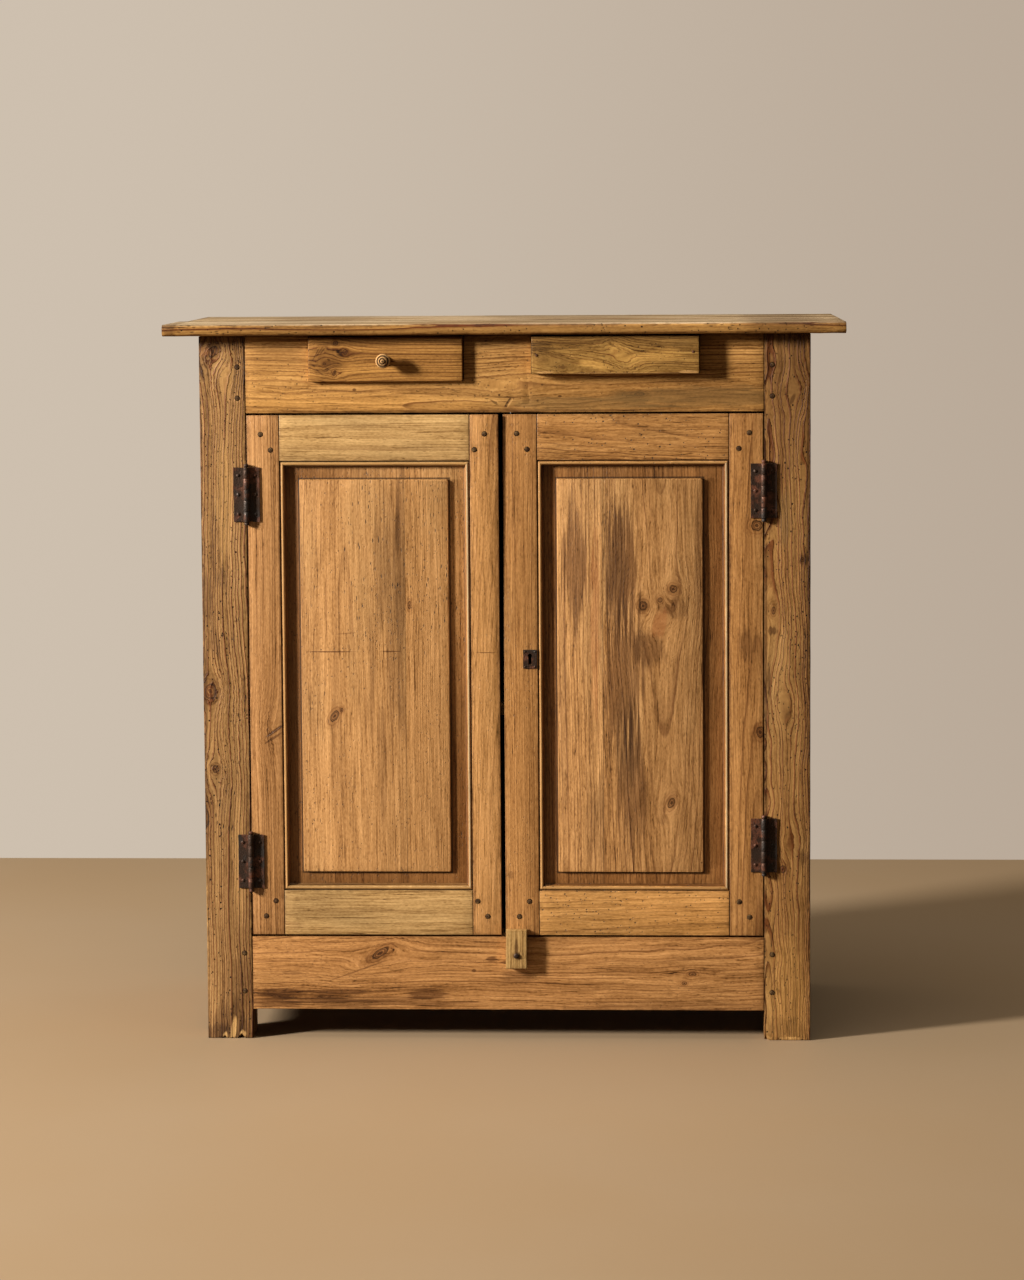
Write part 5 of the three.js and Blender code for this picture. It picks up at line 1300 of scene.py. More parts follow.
class Door:
    """Places of one door's frame, read from the frame's nodes."""

    def __init__(self, side):
        sizes = bpy.context.scene.cupboard_sizes
        self.side = side
        self.sizes = sizes
        self.nodes = {
            "left_stile": {"left": "hinge_stile_left_door", "right": "lock_stile_right_door"}[side],
            "right_stile": {"left": "meeting_stile_left_door", "right": "hinge_stile_right_door"}[side],
            "top_rail": f"rail_top_{side}_door",
            "bottom_rail": f"rail_bottom_{side}_door",
        }
        left, right, top, bottom = (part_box(node) for node in self.nodes.values())
        width = sizes.moulding_width
        self.outer = (left[0].x, right[1].x, left[0].z, left[1].z)
        self.inner = (left[1].x - width, right[0].x + width, bottom[1].z - width, top[0].z + width)
        back = FRONT + DOOR_THICKNESS
        gap = sizes.joint_gap
        x0, x1, z0, z1 = self.outer
        ix0, ix1, iz0, iz1 = self.inner
        self.boxes = {
            "left_stile": ((x0, FRONT, z0), (ix0, back, z1)),
            "right_stile": ((ix1, FRONT, z0), (x1, back, z1)),
            "top_rail": ((ix0 + gap, FRONT, iz1), (ix1 - gap, back, z1)),
            "bottom_rail": ((ix0 + gap, FRONT, z0), (ix1 - gap, back, iz0)),
        }

    def bead(self, part):
        """Where the moulding of a stile or rail begins, and the way that it goes from there."""
        return {
            "left_stile": (self.inner[0], 1), "right_stile": (self.inner[1], -1),
            "bottom_rail": (self.inner[2], 1), "top_rail": (self.inner[3], -1),
        }[part]

    def member(self, part):
        """Stile or rail with its moulding, and the node that it stands for."""
        piece = board(f"{self.side}_door_{part}", *self.boxes[part], ALONG[part.split("_")[1]])
        self.drill(piece, part)
        return join([piece, *self.moulding(part)]), self.nodes[part]

    def drill(self, piece, part):
        """Holes round the pegs and behind the keyhole."""
        if "stile" not in part:
            return
        low, high = self.boxes[part]
        cutters = [
            start_rod("hole", (x, FRONT, z), self.sizes.peg_radius + PEG_CLEARANCE, 16 * MM, "Y", 16)
            for x, z in self.pegs() if low[0] < x < high[0]
        ]
        if self.nodes[part] == "lock_stile_right_door":
            cutters.append(keyhole_cutter())
        bore(piece, cutters)
        if self.nodes[part] == "hinge_stile_left_door":
            bore(piece, [gouge(-0.3835, 0.518, 34 * MM, 3.4 * MM, 2.2 * MM, 0.95)])

    def profiles(self):
        """Outlines of the bead in front of the groove and of the strip behind it: depth and reach."""
        sizes = self.sizes
        width, radius, drop = sizes.moulding_width, sizes.bead_radius, sizes.moulding_drop
        root = -0.5 * MM
        bead = [(sizes.moulding_depth, root), (sizes.quirk_depth, root)]
        steps = 8
        for step in range(steps + 1):
            angle = math.pi * step / steps
            bead.append((
                drop + radius * (1 - math.sin(angle)),
                sizes.quirk_width + radius * (1 - math.cos(angle)),
            ))
        hollow = width - sizes.quirk_width - radius * 2
        steps = 4
        for step in range(1, steps + 1):
            angle = math.pi / 2 * step / steps
            bead.append((
                drop + radius + (sizes.moulding_depth - drop - radius) * math.sin(angle),
                width - hollow * math.cos(angle),
            ))
        behind = sizes.moulding_depth + sizes.groove_width
        return bead, [(behind, root), (behind, width), (DOOR_THICKNESS, width), (DOOR_THICKNESS, root)]

    def moulding(self, part):
        """Moulding in front of the groove, and the strip behind it, both mitred."""
        x0, x1, z0, z1 = self.inner
        (start_x, start_z), degrees = {
            "left_stile": ((x0, z1), 90), "right_stile": ((x1, z0), -90),
            "top_rail": ((x1, z1), 180), "bottom_rail": ((x0, z0), 0),
        }[part]
        length = z1 - z0 if "stile" in part else x1 - x0
        strips = []
        for outline in self.profiles():
            strip = start_outline("strip", [(0, deep, out) for deep, out in outline])
            bpy.ops.mesh.select_all(action="SELECT")
            bpy.ops.mesh.edge_face_add()
            bpy.ops.mesh.extrude_region_move(TRANSFORM_OT_translate={"value": (length, 0, 0)})
            for place, lean in ((0, 1), (length, -1)):
                bpy.ops.mesh.select_all(action="SELECT")
                bpy.ops.mesh.bisect(
                    plane_co=(place + lean * 0.15 * MM, 0, 0), plane_no=(-lean, 0, 1),
                    use_fill=True, clear_outer=True,
                )
            bpy.ops.mesh.select_all(action="SELECT")
            bpy.ops.mesh.normals_make_consistent(inside=False)
            deselect()
            cross_cuts(strip, "X", self.sizes.rows * 2)
            turn = Matrix.Rotation(math.radians(degrees), 4, "Y")
            strip.matrix_world = Matrix.Translation((start_x, FRONT, start_z)) @ turn
            activate(strip)
            bpy.ops.object.transform_apply(location=True, rotation=True, scale=True)
            strips.append(strip)
        return strips

    def pegs(self):
        """Places of the corner pegs."""
        x0, x1, z0, z1 = self.outer
        ix0, ix1, iz0, iz1 = self.inner
        radius = self.sizes.peg_radius
        near = DOOR_PEG_INSETS[0]
        far = min(DOOR_PEG_INSETS[1], ix0 - x0 - radius * 2, x1 - ix1 - radius * 2)
        places = []
        for end, inner in ((z0, iz0), (z1, iz1)):
            for edge, way in ((x0, 1), (x1, -1)):
                for inset, share in zip((near, far), DOOR_PEG_SHARES):
                    places.append((edge + way * inset, end + (inner - end) * share))
        return places

    def panel(self):
        """Panel with its raised field."""
        sizes = self.sizes
        node = f"panel_{self.side}_door"
        low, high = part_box(node)
        edge_front = low.y + sizes.field_rise
        piece = start_block(f"{self.side}_door_panel", (low.x, edge_front, low.z), high)
        left, right, lower, upper = FIELD_MARGINS[self.side]
        field = (
            low.x + sizes.tongue + left, high.x - sizes.tongue - right,
            low.z + sizes.tongue + lower, high.z - sizes.tongue - upper,
        )
        edit(piece)
        for place, normal in (
            ((field[0], 0, 0), (1, 0, 0)), ((field[1], 0, 0), (1, 0, 0)),
            ((0, 0, field[2]), (0, 0, 1)), ((0, 0, field[3]), (0, 0, 1)),
        ):
            bpy.ops.mesh.select_all(action="SELECT")
            bpy.ops.mesh.bisect(plane_co=place, plane_no=normal)
        pick("FACE", lambda face: face.normal.y < -0.9 and field[0] < middle(face).x < field[1]
             and field[2] < middle(face).z < field[3])
        bpy.ops.mesh.extrude_region_move(TRANSFORM_OT_translate={"value": (0, -sizes.field_rise, 0)})
        wide, tall = field[1] - field[0], field[3] - field[2]
        slopes = 2 * sizes.field_slope
        bpy.ops.transform.resize(value=(1 - slopes / wide, 1, 1 - slopes / tall))
        pick("EDGE", lambda edge: middle(edge).y < edge_front - MM and field_corner(edge))
        bpy.ops.mesh.bevel(offset=3 * MM, segments=3, affect="EDGES")
        deselect()
        cross_cuts(piece, "Z", sizes.rows)
        ease(piece, 0.9 * MM)
        weather(piece, sizes.wear, 0.08)
        return piece, node, field


def field_corner(edge):
    """Whether an edge of a raised field runs from front to back, as at its corners."""
    first, second = edge.verts
    return abs(first.co.y - second.co.y) > 3 * MM


def wind(piece):
    """Twists a piece of the left door: its free edge stands out at the top."""
    sizes = bpy.context.scene.cupboard_sizes
    hinge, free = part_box("hinge_stile_left_door")[0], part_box("meeting_stile_left_door")[1]
    for corner in piece.data.vertices:
        out = (corner.co.x - hinge.x) / (free.x - hinge.x)
        up = (corner.co.z - hinge.z) / (free.z - hinge.z)
        corner.co.y -= sizes.winding * max(out, 0) * (1.15 * up - 0.15)


# Drawers, knob, lock and turn button

DRAWER_LOOKS = {
    "left": dict(
        heart=(0.09, 0.02), spacing=4.2 * MM, contrast=1.8, figure=0.014, streaks=0.7, mottle=0.15,
        ridges=0.25, pits=0.2, worms=0.2, rim=0.15,
        knots=[
            (-0.259, 1.1456, 0.0038, 0.0036, 0.0), (-0.2935, 1.1262, 0.0026, 0.0024, 0.0),
            (-0.277, 1.111, 0.0024, 0.0045, 0.3), (-0.2745, 1.160, 0.004, 0.0035, 0.0),
        ],
        swirls=[
            (-0.262, 1.144, 0.018, 0.010, 0.2), (-0.294, 1.128, 0.020, 0.014, 0.4),
            (-0.278, 1.110, 0.012, 0.007, 0.2), (-0.302, 1.148, 0.016, 0.012, -0.5),
        ],
        stains=[
            (-0.311, 1.1245, 0.010, 0.0009, 0.0, 0.9), (-0.288, 1.13, 0.030, 0.030, 0.2, 0.5),
            (-0.307, 1.142, 0.0012, 0.013, 0.5, 0.7), (-0.301, 1.146, 0.0012, 0.012, 0.6, 0.6),
            (-0.2955, 1.148, 0.0012, 0.010, 0.7, 0.6), (-0.303, 1.113, 0.012, 0.0012, 0.5, 0.6),
            (-0.266, 1.139, 0.010, 0.004, 0.6, 0.5), (-0.288, 1.118, 0.008, 0.0014, 0.5, 0.6),
            # Painted shade beneath the top's overhang, with grime
            (-0.193, 1.175, 0.3, 0.022, 0.0, 0.6),
        ],
        patches=[(-0.22, 1.118, 0.05, 0.012, 0.0, 0.35, "gold_wood")],
    ),
    "right": dict(
        heart=(0.10, 0.02), tilt=0.05, spacing=3.4 * MM, contrast=1.3, figure=0.05, ripple=0.006,
        streaks=0.8, mottle=0.2, ridges=0.4, pits=0.6, worms=0.6, rim=0.1,
        stains=[
            (0.078, 1.135, 0.045, 0.020, 0.3, 0.5), (0.10, 1.116, 0.06, 0.006, 0.0, 0.4),
            (0.26, 1.122, 0.05, 0.010, 0.0, 0.35), (0.295, 1.152, 0.02, 0.008, 0.0, 0.4),
            # The first stain on the next line is painted shade beneath the top's overhang, with grime
            (0.183, 1.174, 0.3, 0.022, 0.0, 0.6), (0.06, 1.15, 0.02, 0.012, 0.0, 0.4),
            (0.179, 1.1545, 0.008, 0.0022, 0.5, 0.85), (0.1885, 1.149, 0.006, 0.0016, 0.5, 0.85),
        ],
        swirls=[(0.19, 1.14, 0.03, 0.016, 0.8), (0.085, 1.125, 0.05, 0.014, 0.3)],
        patches=[
            # The gold patches on this front are paler wood and painted highlight where the front catches
            # the light
            (0.194, 1.1400, 0.030, 0.014, 0.5, 0.45, "gold_wood"),
            (0.150, 1.1232, 0.030, 0.008, 0.2, 0.6, "gold_wood"),
            (0.25, 1.135, 0.04, 0.012, -0.1, 0.5, "gold_wood"),
            (0.0699, 1.1110, 0.016, 0.0022, 0.0, 1.0, "bare_wood"),
            (0.3003, 1.1112, 0.016, 0.0026, 0.0, 1.0, "bare_wood"),
            (0.19, 1.1092, 0.12, 0.0012, 0.0, 0.7, "bare_wood"),
        ],
    ),
}
RIGHT_DRAWER_NAILS = ((0.0544, 1.1389), (0.3095, 1.1437))


class CUPBOARD_OT_drawers(bpy.types.Operator):
    """Make the fronts and boxes of both drawers"""

    bl_idname = "cupboard.drawers"
    bl_label = "Drawers"

    def execute(self, context):
        sizes, tones = context.scene.cupboard_sizes, context.scene.cupboard_tones
        for side in SIDES:
            low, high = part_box(f"drawer_front_{side}")
            piece = board(f"{side}_drawer_front", low, high, "X", 1.8)
            if side == "left":
                knob_low, knob_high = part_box("drawer_knob_left")
                centre = (knob_low + knob_high) / 2
                bore(piece, [start_rod("hole", (centre.x, low.y, centre.z), 5.3 * MM, 60 * MM, "Y", 24)])
            colour = getattr(tones, f"{side}_drawer")
            finish = pine(f"{side}_drawer_pine", colour, low, high, "X", **DRAWER_LOOKS[side])
            finish_piece(piece, finish, f"drawer_{side}", "drawer_front_pine", f"drawer_front_{side}")
            for part, along in (("side", "Y"), ("back", "X"), ("bottom", "X")):
                for end in ("_a", "_b") if part == "side" else ("",):
                    node = f"drawer_{part}_{side}{end}"
                    piece = eased_copy(f"{side}_drawer_{part}{end}", node, sizes.inner_ease)
                    finish_piece(piece, inside_pine(along), f"drawer_{side}", "inside_pine", node)
        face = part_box("drawer_front_right")[0].y
        places = [(x, face, z) for x, z in RIGHT_DRAWER_NAILS]
        make_nails("right_drawer_nails", places, 2.2 * MM, "drawer_right")
        return {"FINISHED"}


def inside_pine(along):
    """Unwaxed pine of the pieces inside and behind, with the grain along an axis."""
    tones = bpy.context.scene.cupboard_tones
    name = f"inside_pine_{along.lower()}"
    heart = {"X": (0.05, 0.09), "Y": (0.12, 0.02), "Z": (-0.08, 0.1)}[along]
    return bpy.data.materials.get(name) or pine(
        name, tones.inside, *CAD_BOX, along, heart=heart, spacing=6.0 * MM, contrast=0.44, figure=0.03,
        mottle=0.5, ridges=0.1, rim=0.0,
    )


def dome(name, centre, radius, rise):
    """Flat dome on a face that looks to -Y."""
    deselect()
    bpy.ops.mesh.primitive_uv_sphere_add(segments=10, ring_count=6, radius=radius, location=centre)
    piece = bpy.context.object
    piece.name = name
    piece.scale.y = rise / radius
    bpy.ops.object.transform_apply(location=True, rotation=True, scale=True)
    return piece


def make_nails(name, places, radius, body):
    """Flat hammered nail heads at places, joined in one piece."""
    piece = join([dome("nail", place, radius, radius * 0.35) for place in places])
    piece.name = name
    finish_piece(piece, material_of("old_iron", old_iron), body, "aged_iron")


# Outline of the knob, as shares of its radius and of its reach from the drawer's face
KNOB_TURNING = (
    (0.7, 0.0), (0.72, 0.08), (0.62, 0.13), (0.47, 0.22), (0.45, 0.34), (0.62, 0.42), (0.93, 0.5),
    (1.0, 0.58), (1.0, 0.66), (0.95, 0.72), (0.82, 0.76), (0.8, 0.74), (0.66, 0.75), (0.62, 0.80),
    (0.6, 0.86), (0.5, 0.89), (0.44, 0.87), (0.32, 0.88), (0.29, 0.93), (0.22, 0.98), (0.1, 1.0), (0, 1.0),
)
# Stops of the ramp that lays grime and painted shade in the knob's grooves
KNOB_GROOVE_DIRT_AND_SHADE = (
    (0, 1), (0.12, 1), (0.17, 0), (0.25, 0), (0.3, 1), (0.45, 1), (0.5, 0), (0.59, 0), (0.64, 1),
    (0.8, 1), (0.85, 0),
)


class CUPBOARD_OT_knob(bpy.types.Operator):
    """Make the turned knob of the left drawer"""

    bl_idname = "cupboard.knob"
    bl_label = "Knob"

    def execute(self, context):
        tones = context.scene.cupboard_tones
        low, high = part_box("drawer_knob_left")
        front_low, front_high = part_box("drawer_front_left")
        x, z = (low.x + high.x) / 2, (low.z + high.z) / 2
        radius = (high.x - low.x) / 2
        face, reach = front_low.y, front_low.y - low.y
        shank = 5 * MM
        points = [(x, front_high.y, z), (x + shank, front_high.y, z), (x + shank, face, z)]
        points += [(x + radius * share, face - reach * along, z) for share, along in KNOB_TURNING]
        piece = start_outline("drawer_knob", points)
        bpy.ops.mesh.select_all(action="SELECT")
        bpy.ops.mesh.spin(steps=40, angle=math.tau, center=(x, 0, z), axis=(0, 1, 0))
        bpy.ops.mesh.select_all(action="SELECT")
        bpy.ops.mesh.remove_doubles(threshold=0.02 * MM)
        bpy.ops.mesh.normals_make_consistent(inside=False)
        deselect()
        finish = self.ringed_wood(tones, (x, 0, z), radius)
        finish_piece(piece, finish, "drawer_left", "knob_wood", "drawer_knob_left")
        return {"FINISHED"}

    def ringed_wood(self, tones, centre, radius):
        """Pale turned wood with grime and painted shade in the grooves round the middle."""
        finish = plain_wood("knob_wood", tones.knob, (90, 300, 90), 0.3)
        nodes = Nodes(finish.node_tree)
        shader = finish.node_tree.nodes["Principled BSDF"]
        made = shader.inputs["Base Color"].links[0].from_socket
        place = nodes.add("TexCoord").outputs["Object"]
        off = nodes.stretched(nodes.vector("SUBTRACT", place, centre), (1 / radius, 0, 1 / radius))
        # Grime and painted shade in the knob's grooves
        groove = nodes.ramp(nodes.vector("LENGTH", off), KNOB_GROOVE_DIRT_AND_SHADE)
        made = nodes.mix(nodes.product(groove, 0.85), made, tones.dirt_and_shade)
        nodes.put(shader.inputs["Base Color"], made)
        return finish


def keyhole_cutter():
    """Keyhole as a solid: a round bow above a slot, right through the door."""
    low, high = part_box("escutcheon")
    x, z = (low.x + high.x) / 2, (low.z + high.z) / 2
    top, bottom, half_width, half_length = z + 5.5 * MM, z - 9 * MM, 2.6 * MM, 0.06
    bow = start_rod("bow", (x, FRONT, top), 3.4 * MM, half_length * 2, "Y", 20)
    slot = start_block(
        "slot", (x - half_width, FRONT - half_length, bottom), (x + half_width, FRONT + half_length, top),
    )
    activate(bow)
    apply_modifier(bow, "BOOLEAN", operation="UNION", object=slot, solver="EXACT")
    bpy.data.objects.remove(slot)
    return bow


class CUPBOARD_OT_lock(bpy.types.Operator):
    """Make the escutcheon, the lock case and its bolt"""

    bl_idname = "cupboard.lock"
    bl_label = "Lock"

    def execute(self, context):
        iron = material_of("old_iron", old_iron)
        low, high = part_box("escutcheon")
        face = FRONT - 0.3 * MM
        plate = start_block(
            "escutcheon_plate", (low.x, face - 1.5 * MM, low.z), (high.x, face, high.z),
        )
        cross_cuts(plate, "Z", 4 * MM)
        cross_cuts(plate, "X", 4 * MM)
        weather(plate, 0.6 * MM, 0.012)
        bore(plate, [keyhole_cutter()])
        ease(plate, 0.25 * MM, 1)
        inset = 3.4 * MM
        heads = [
            dome("head", (x, face - 1.4 * MM, z), 1.8 * MM, 0.9 * MM)
            for x in (low.x + inset, high.x - inset) for z in (low.z + inset, high.z - inset)
        ]
        finish_piece(join([plate, *heads]), iron, "door_right", "aged_iron", "escutcheon")
        for node, body in (("lock_case", "door_right"), ("lock_bolt", "lock_bolt")):
            finish_piece(eased_copy(f"old_{node}", node, 0.4 * MM), iron, body, "aged_iron", node)
        return {"FINISHED"}


class CUPBOARD_OT_turn_button(bpy.types.Operator):
    """Make the turn button and the nail that it turns on"""

    bl_idname = "cupboard.turn_button"
    bl_label = "Turn button"

    def execute(self, context):
        tones = context.scene.cupboard_tones
        low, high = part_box("turn_button")
        nail_low, nail_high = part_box("turn_button_nail")
        x, z = (nail_low.x + nail_high.x) / 2, (nail_low.z + nail_high.z) / 2
        piece = start_block("turn_button_block", low, high)
        cross_cuts(piece, "Z", 8 * MM)
        cross_cuts(piece, "X", 9 * MM)
        ease(piece, 1.6 * MM, 3)
        weather(piece, 1.4 * MM, 0.02)
        bore(piece, [start_rod("hole", (x, FRONT, z), 2.3 * MM, 0.1, "Y", 16)])
        finish = pine(
            "button_wood", tones.button, low, high, "Z", heart=(0.06, 0.03), spacing=7.5 * MM,
            contrast=0.38, mottle=0.8, ridges=0.25, pits=0.5, worms=0.5, rim=0.3,
            stains=[(x, z + 0.012, 0.004, 0.018, 0.0, 0.9), (x, z, 0.007, 0.007, 0.0, 0.8)],
        )
        finish_piece(piece, finish, "turn_button", "button_wood", "turn_button")
        length = nail_high.y - nail_low.y - 1.5 * MM
        centre = (x, nail_high.y - length / 2, z)
        shank = start_rod("turn_button_pivot", centre, 2 * MM, length, "Y", 12)
        head = dome("head", (x, nail_low.y + 1.6 * MM, z), 4.5 * MM, 1.6 * MM)
        iron = material_of("old_iron", old_iron)
        finish_piece(join([shank, head]), iron, "carcass", "aged_iron", "turn_button_nail")
        return {"FINISHED"}


class CUPBOARD_OT_hinges(bpy.types.Operator):
    """Make the leaves and pins of the four hinges"""

    bl_idname = "cupboard.hinges"
    bl_label = "Hinges"

    def execute(self, context):
        iron = material_of("old_iron", old_iron)
        for side, sign in zip(SIDES, (-1, 1)):
            for level in LEVELS:
                low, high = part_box(f"hinge_pin_{side}_{level}")
                axis = (low + high) / 2
                pin = start_rod("pin", axis, 2.5 * MM, high.z - low.z - 2 * MM, "Z", 16)
                heads = [
                    start_rod("head", (axis.x, axis.y, z), 4.1 * MM, 5 * MM, "Z", 16)
                    for z in (low.z + 2.5 * MM, high.z - 2.5 * MM)
                ]
                for head in heads:
                    ease(head, 1.4 * MM, 2)
                pin = join([pin, *heads])
                pin.name = f"{side}_{level}_hinge_pin"
                finish_piece(pin, iron, "carcass", "aged_iron", f"hinge_pin_{side}_{level}")
                for kind, way, body in (("post", sign, "carcass"), ("door", -sign, f"door_{side}")):
                    node = f"hinge_{kind}_leaf_{side}_{level}"
                    leaf = self.leaf(f"{side}_{level}_hinge_{kind}_leaf", axis, node, way, kind == "post")
                    finish_piece(leaf, iron, body, "aged_iron", node)
        return {"FINISHED"}

    def leaf(self, name, axis, node, way, outer):
        """Leaf with ragged edges, its knuckles and three nail heads."""
        sizes = bpy.context.scene.cupboard_sizes
        low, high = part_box(node)
        face = axis.y + sizes.knuckle_radius
        reach = high.x if way > 0 else low.x
        start = axis.x + way * 3.5 * MM
        left, right = sorted((start, reach))
        front = face - sizes.leaf_thickness
        plate = start_block(name, (left, front, low.z), (right, face, high.z))
        cross_cuts(plate, "Z", 5 * MM)
        cross_cuts(plate, "X", 5 * MM)
        weather(plate, 1.3 * MM, 0.014)
        ease(plate, 0.4 * MM, 1, 50)
        pitch = (high.z - low.z) / KNUCKLES
        parts = [plate]
        for index in range(KNUCKLES):
            if (index % 2 == 0) == outer:
                centre = (axis.x, axis.y, low.z + pitch * (index + 0.5))
                knuckle = start_rod("knuckle", centre, sizes.knuckle_radius, pitch - 0.5 * MM, "Z", 20)
                ease(knuckle, 0.6 * MM, 2)
                parts.append(knuckle)
        nail_x = axis.x + way * 14 * MM
        for step in (-1, 0, 1):
            place = (nail_x, front + 0.4 * MM, axis.z + step * HINGE_NAIL_SPACING)
            parts.append(dome("nail", place, sizes.nail_head, 1.4 * MM))
        return join(parts)


class CUPBOARD_OT_carcass_inside(bpy.types.Operator):
    """Make the sides, the back, the boards inside and the drawer beds"""

    bl_idname = "cupboard.carcass_inside"
    bl_label = "Sides, back and inside"

    def execute(self, context):
        sizes, tones = context.scene.cupboard_sizes, context.scene.cupboard_tones
        for side in SIDES:
            for part, along, slot in (
                ("side_rail_top", "Y", "frame_pine"), ("side_rail_bottom", "Y", "frame_pine"),
                ("side_panel", "Z", "panel_pine"),
            ):
                node = f"{part}_{side}"
                low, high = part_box(node)
                piece = eased_copy(f"{side}_{part}", node, sizes.ease, along)
                finish = pine(
                    f"{side}_{part}_pine", tones.side, low, high, along, heart=(0.03, 0.1), tilt=0.02,
                    contrast=0.62, figure=0.02, mottle=0.4, ridges=0.2, worms=0.4,
                )
                finish_piece(piece, finish, "carcass", slot, node)
        for node, along in (
            ("back_rail_top", "X"), ("back_rail_bottom", "X"),
            ("back_board_left", "Z"), ("back_board_right", "Z"),
            ("bottom_board", "X"), ("shelf", "X"), ("drawer_bed_left", "X"), ("drawer_bed_right", "X"),
        ):
            piece = eased_copy(f"old_{node}", node, sizes.inner_ease)
            finish_piece(piece, inside_pine(along), "carcass", "inside_pine", node)
        return {"FINISHED"}


# Stage

FLOOR_CENTRE = (0, -0.95, 0)
FLOOR_SIZE = (5.2, 4.6, 1)
FLOOR_CLOUD = (0.4, 0.36, 0.32)
SIDE_LIGHT_PLACE = Vector((-5.6, -2.8, 2.75))
SIDE_LIGHT_AIM = Vector((0, 0, 0.6))
SIDE_LIGHT_SIZE = (0.8, 1.5)
TOP_LIGHT_PLACE = (0, -0.4, 4.2)
TOP_LIGHT_SIZE = 2.5


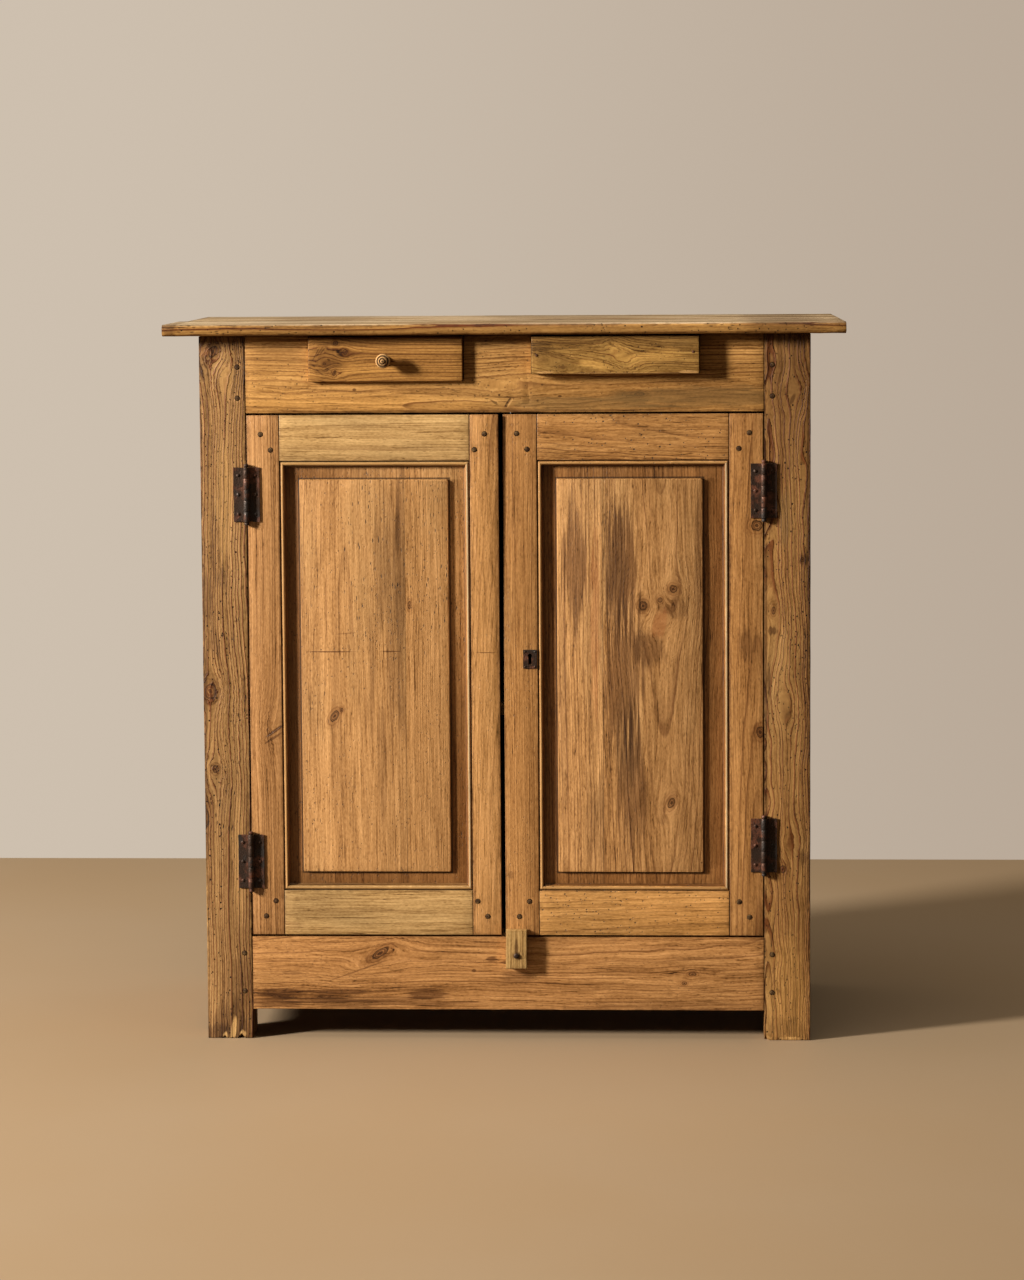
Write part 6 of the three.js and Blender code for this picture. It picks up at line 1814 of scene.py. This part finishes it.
class CUPBOARD_OT_stage(bpy.types.Operator):
    """Make the floor, the lights and the camera"""

    bl_idname = "cupboard.stage"
    bl_label = "Stage"

    def execute(self, context):
        stage = context.scene.cupboard_stage
        self.floor(stage)
        self.lights(stage)
        self.surroundings(context.scene, stage)
        self.camera(context.scene, stage)
        context.scene.view_settings.view_transform = "Standard"
        deselect()
        return {"FINISHED"}

    def floor(self, stage):
        """Plain floor. The camera sees one tone, and the light that comes back from it has another."""
        deselect()
        bpy.ops.mesh.primitive_plane_add(size=1, location=FLOOR_CENTRE)
        floor = bpy.context.object
        floor.name = "floor"
        floor.scale = FLOOR_SIZE
        bpy.ops.object.transform_apply(location=True, rotation=True, scale=True)
        material, nodes, shader, place = start_material("pale_floor")
        cloud = nodes.noise(place, (1.2, 1.2, 1.2), 3.0)
        seen = nodes.mix(nodes.smooth(cloud, 0.3, 0.7, 0.0, 0.12), stage.floor, FLOOR_CLOUD)
        camera_ray = nodes.add("LightPath").outputs["Is Camera Ray"]
        nodes.put(shader.inputs["Base Color"], nodes.mix(camera_ray, stage.floor_bounce, seen))
        shader.inputs["Roughness"].default_value = 0.6
        floor.data.materials.append(material)

    def lights(self, stage):
        """Warm light from the left and a soft one from above."""
        bpy.ops.object.light_add(type="AREA", location=SIDE_LIGHT_PLACE)
        key = bpy.context.object
        key.name = "side_light"
        key.rotation_euler = (SIDE_LIGHT_PLACE - SIDE_LIGHT_AIM).to_track_quat("Z", "Y").to_euler()
        key.data.shape = "ELLIPSE"
        key.data.size, key.data.size_y = SIDE_LIGHT_SIZE
        key.data.energy = stage.key_power
        key.data.color = stage.key_tone

        bpy.ops.object.light_add(type="AREA", location=TOP_LIGHT_PLACE)
        above = bpy.context.object
        above.name = "top_light"
        above.data.size = TOP_LIGHT_SIZE
        above.data.energy = stage.top_power
        above.data.color = stage.fill_tone

    def surroundings(self, scene, stage):
        """Backdrop for the camera, lighter on the left than on the right, and soft light from all sides."""
        world = bpy.data.worlds.new("soft_light")
        scene.world = world
        world.use_nodes = True
        nodes = Nodes(world.node_tree)
        world.node_tree.nodes.clear()
        direction = nodes.add("TexCoord").outputs["Generated"]
        sideways = nodes.smooth(nodes.add("SeparateXYZ", {0: direction}).outputs[0], -0.22, 0.18)
        wall = nodes.mix(sideways, stage.backdrop_left, stage.backdrop_right)
        seen = nodes.add("Background", {"Color": wall, "Strength": 1.0}).outputs[0]
        soft = {"Color": stage.fill_tone, "Strength": stage.fill_strength}
        light = nodes.add("Background", soft).outputs[0]
        camera_ray = nodes.add("LightPath").outputs["Is Camera Ray"]
        mixed = nodes.add("MixShader", {0: camera_ray, 1: light, 2: seen}).outputs[0]
        nodes.add("OutputWorld", {"Surface": mixed})

    def camera(self, scene, stage):
        """Camera at its fitted place."""
        bpy.ops.object.camera_add(location=stage.camera_place)
        camera = bpy.context.object
        turn = (
            Matrix.Rotation(stage.camera_yaw, 3, "Z")
            @ Matrix.Rotation(math.pi / 2 - stage.camera_pitch, 3, "X")
            @ Matrix.Rotation(stage.camera_roll, 3, "Z")
        )
        camera.rotation_euler = turn.to_euler()
        camera.data.lens = stage.lens
        camera.data.shift_y = stage.shift
        scene.camera = camera


# Panel, registration and the whole run

OPERATORS = (
    CUPBOARD_OT_stage,
    CUPBOARD_OT_posts,
    CUPBOARD_OT_front_rails,
    CUPBOARD_OT_top,
    CUPBOARD_OT_doors,
    CUPBOARD_OT_drawers,
    CUPBOARD_OT_knob,
    CUPBOARD_OT_lock,
    CUPBOARD_OT_turn_button,
    CUPBOARD_OT_hinges,
    CUPBOARD_OT_carcass_inside,
)
SETTINGS = {
    "cupboard_tones": CupboardTones,
    "cupboard_sizes": CupboardSizes,
    "cupboard_stage": CupboardStage,
}


class CUPBOARD_PT_pieces(bpy.types.Panel):
    """Lists the operators and the settings"""

    bl_idname = "CUPBOARD_PT_pieces"
    bl_label = "Pine cupboard"
    bl_space_type = "VIEW_3D"
    bl_region_type = "UI"
    bl_category = "Cupboard"

    def draw(self, context):
        for operator in OPERATORS:
            self.layout.operator(operator.bl_idname)
        for name, group in SETTINGS.items():
            box = self.layout.box()
            box.label(text=group.__doc__)
            for key in group.__annotations__:
                box.prop(getattr(context.scene, name), key)


def register():
    for group in (*SETTINGS.values(), *OPERATORS, CUPBOARD_PT_pieces):
        bpy.utils.register_class(group)
    for name, group in SETTINGS.items():
        setattr(bpy.types.Scene, name, PointerProperty(type=group))


def unregister():
    for name in SETTINGS:
        delattr(bpy.types.Scene, name)
    for group in (*SETTINGS.values(), *OPERATORS, CUPBOARD_PT_pieces):
        bpy.utils.unregister_class(group)


def main():
    register()
    for operator in OPERATORS:
        group, name = operator.bl_idname.split(".")
        getattr(getattr(bpy.ops, group), name)()


if __name__ == "__main__":
    main()
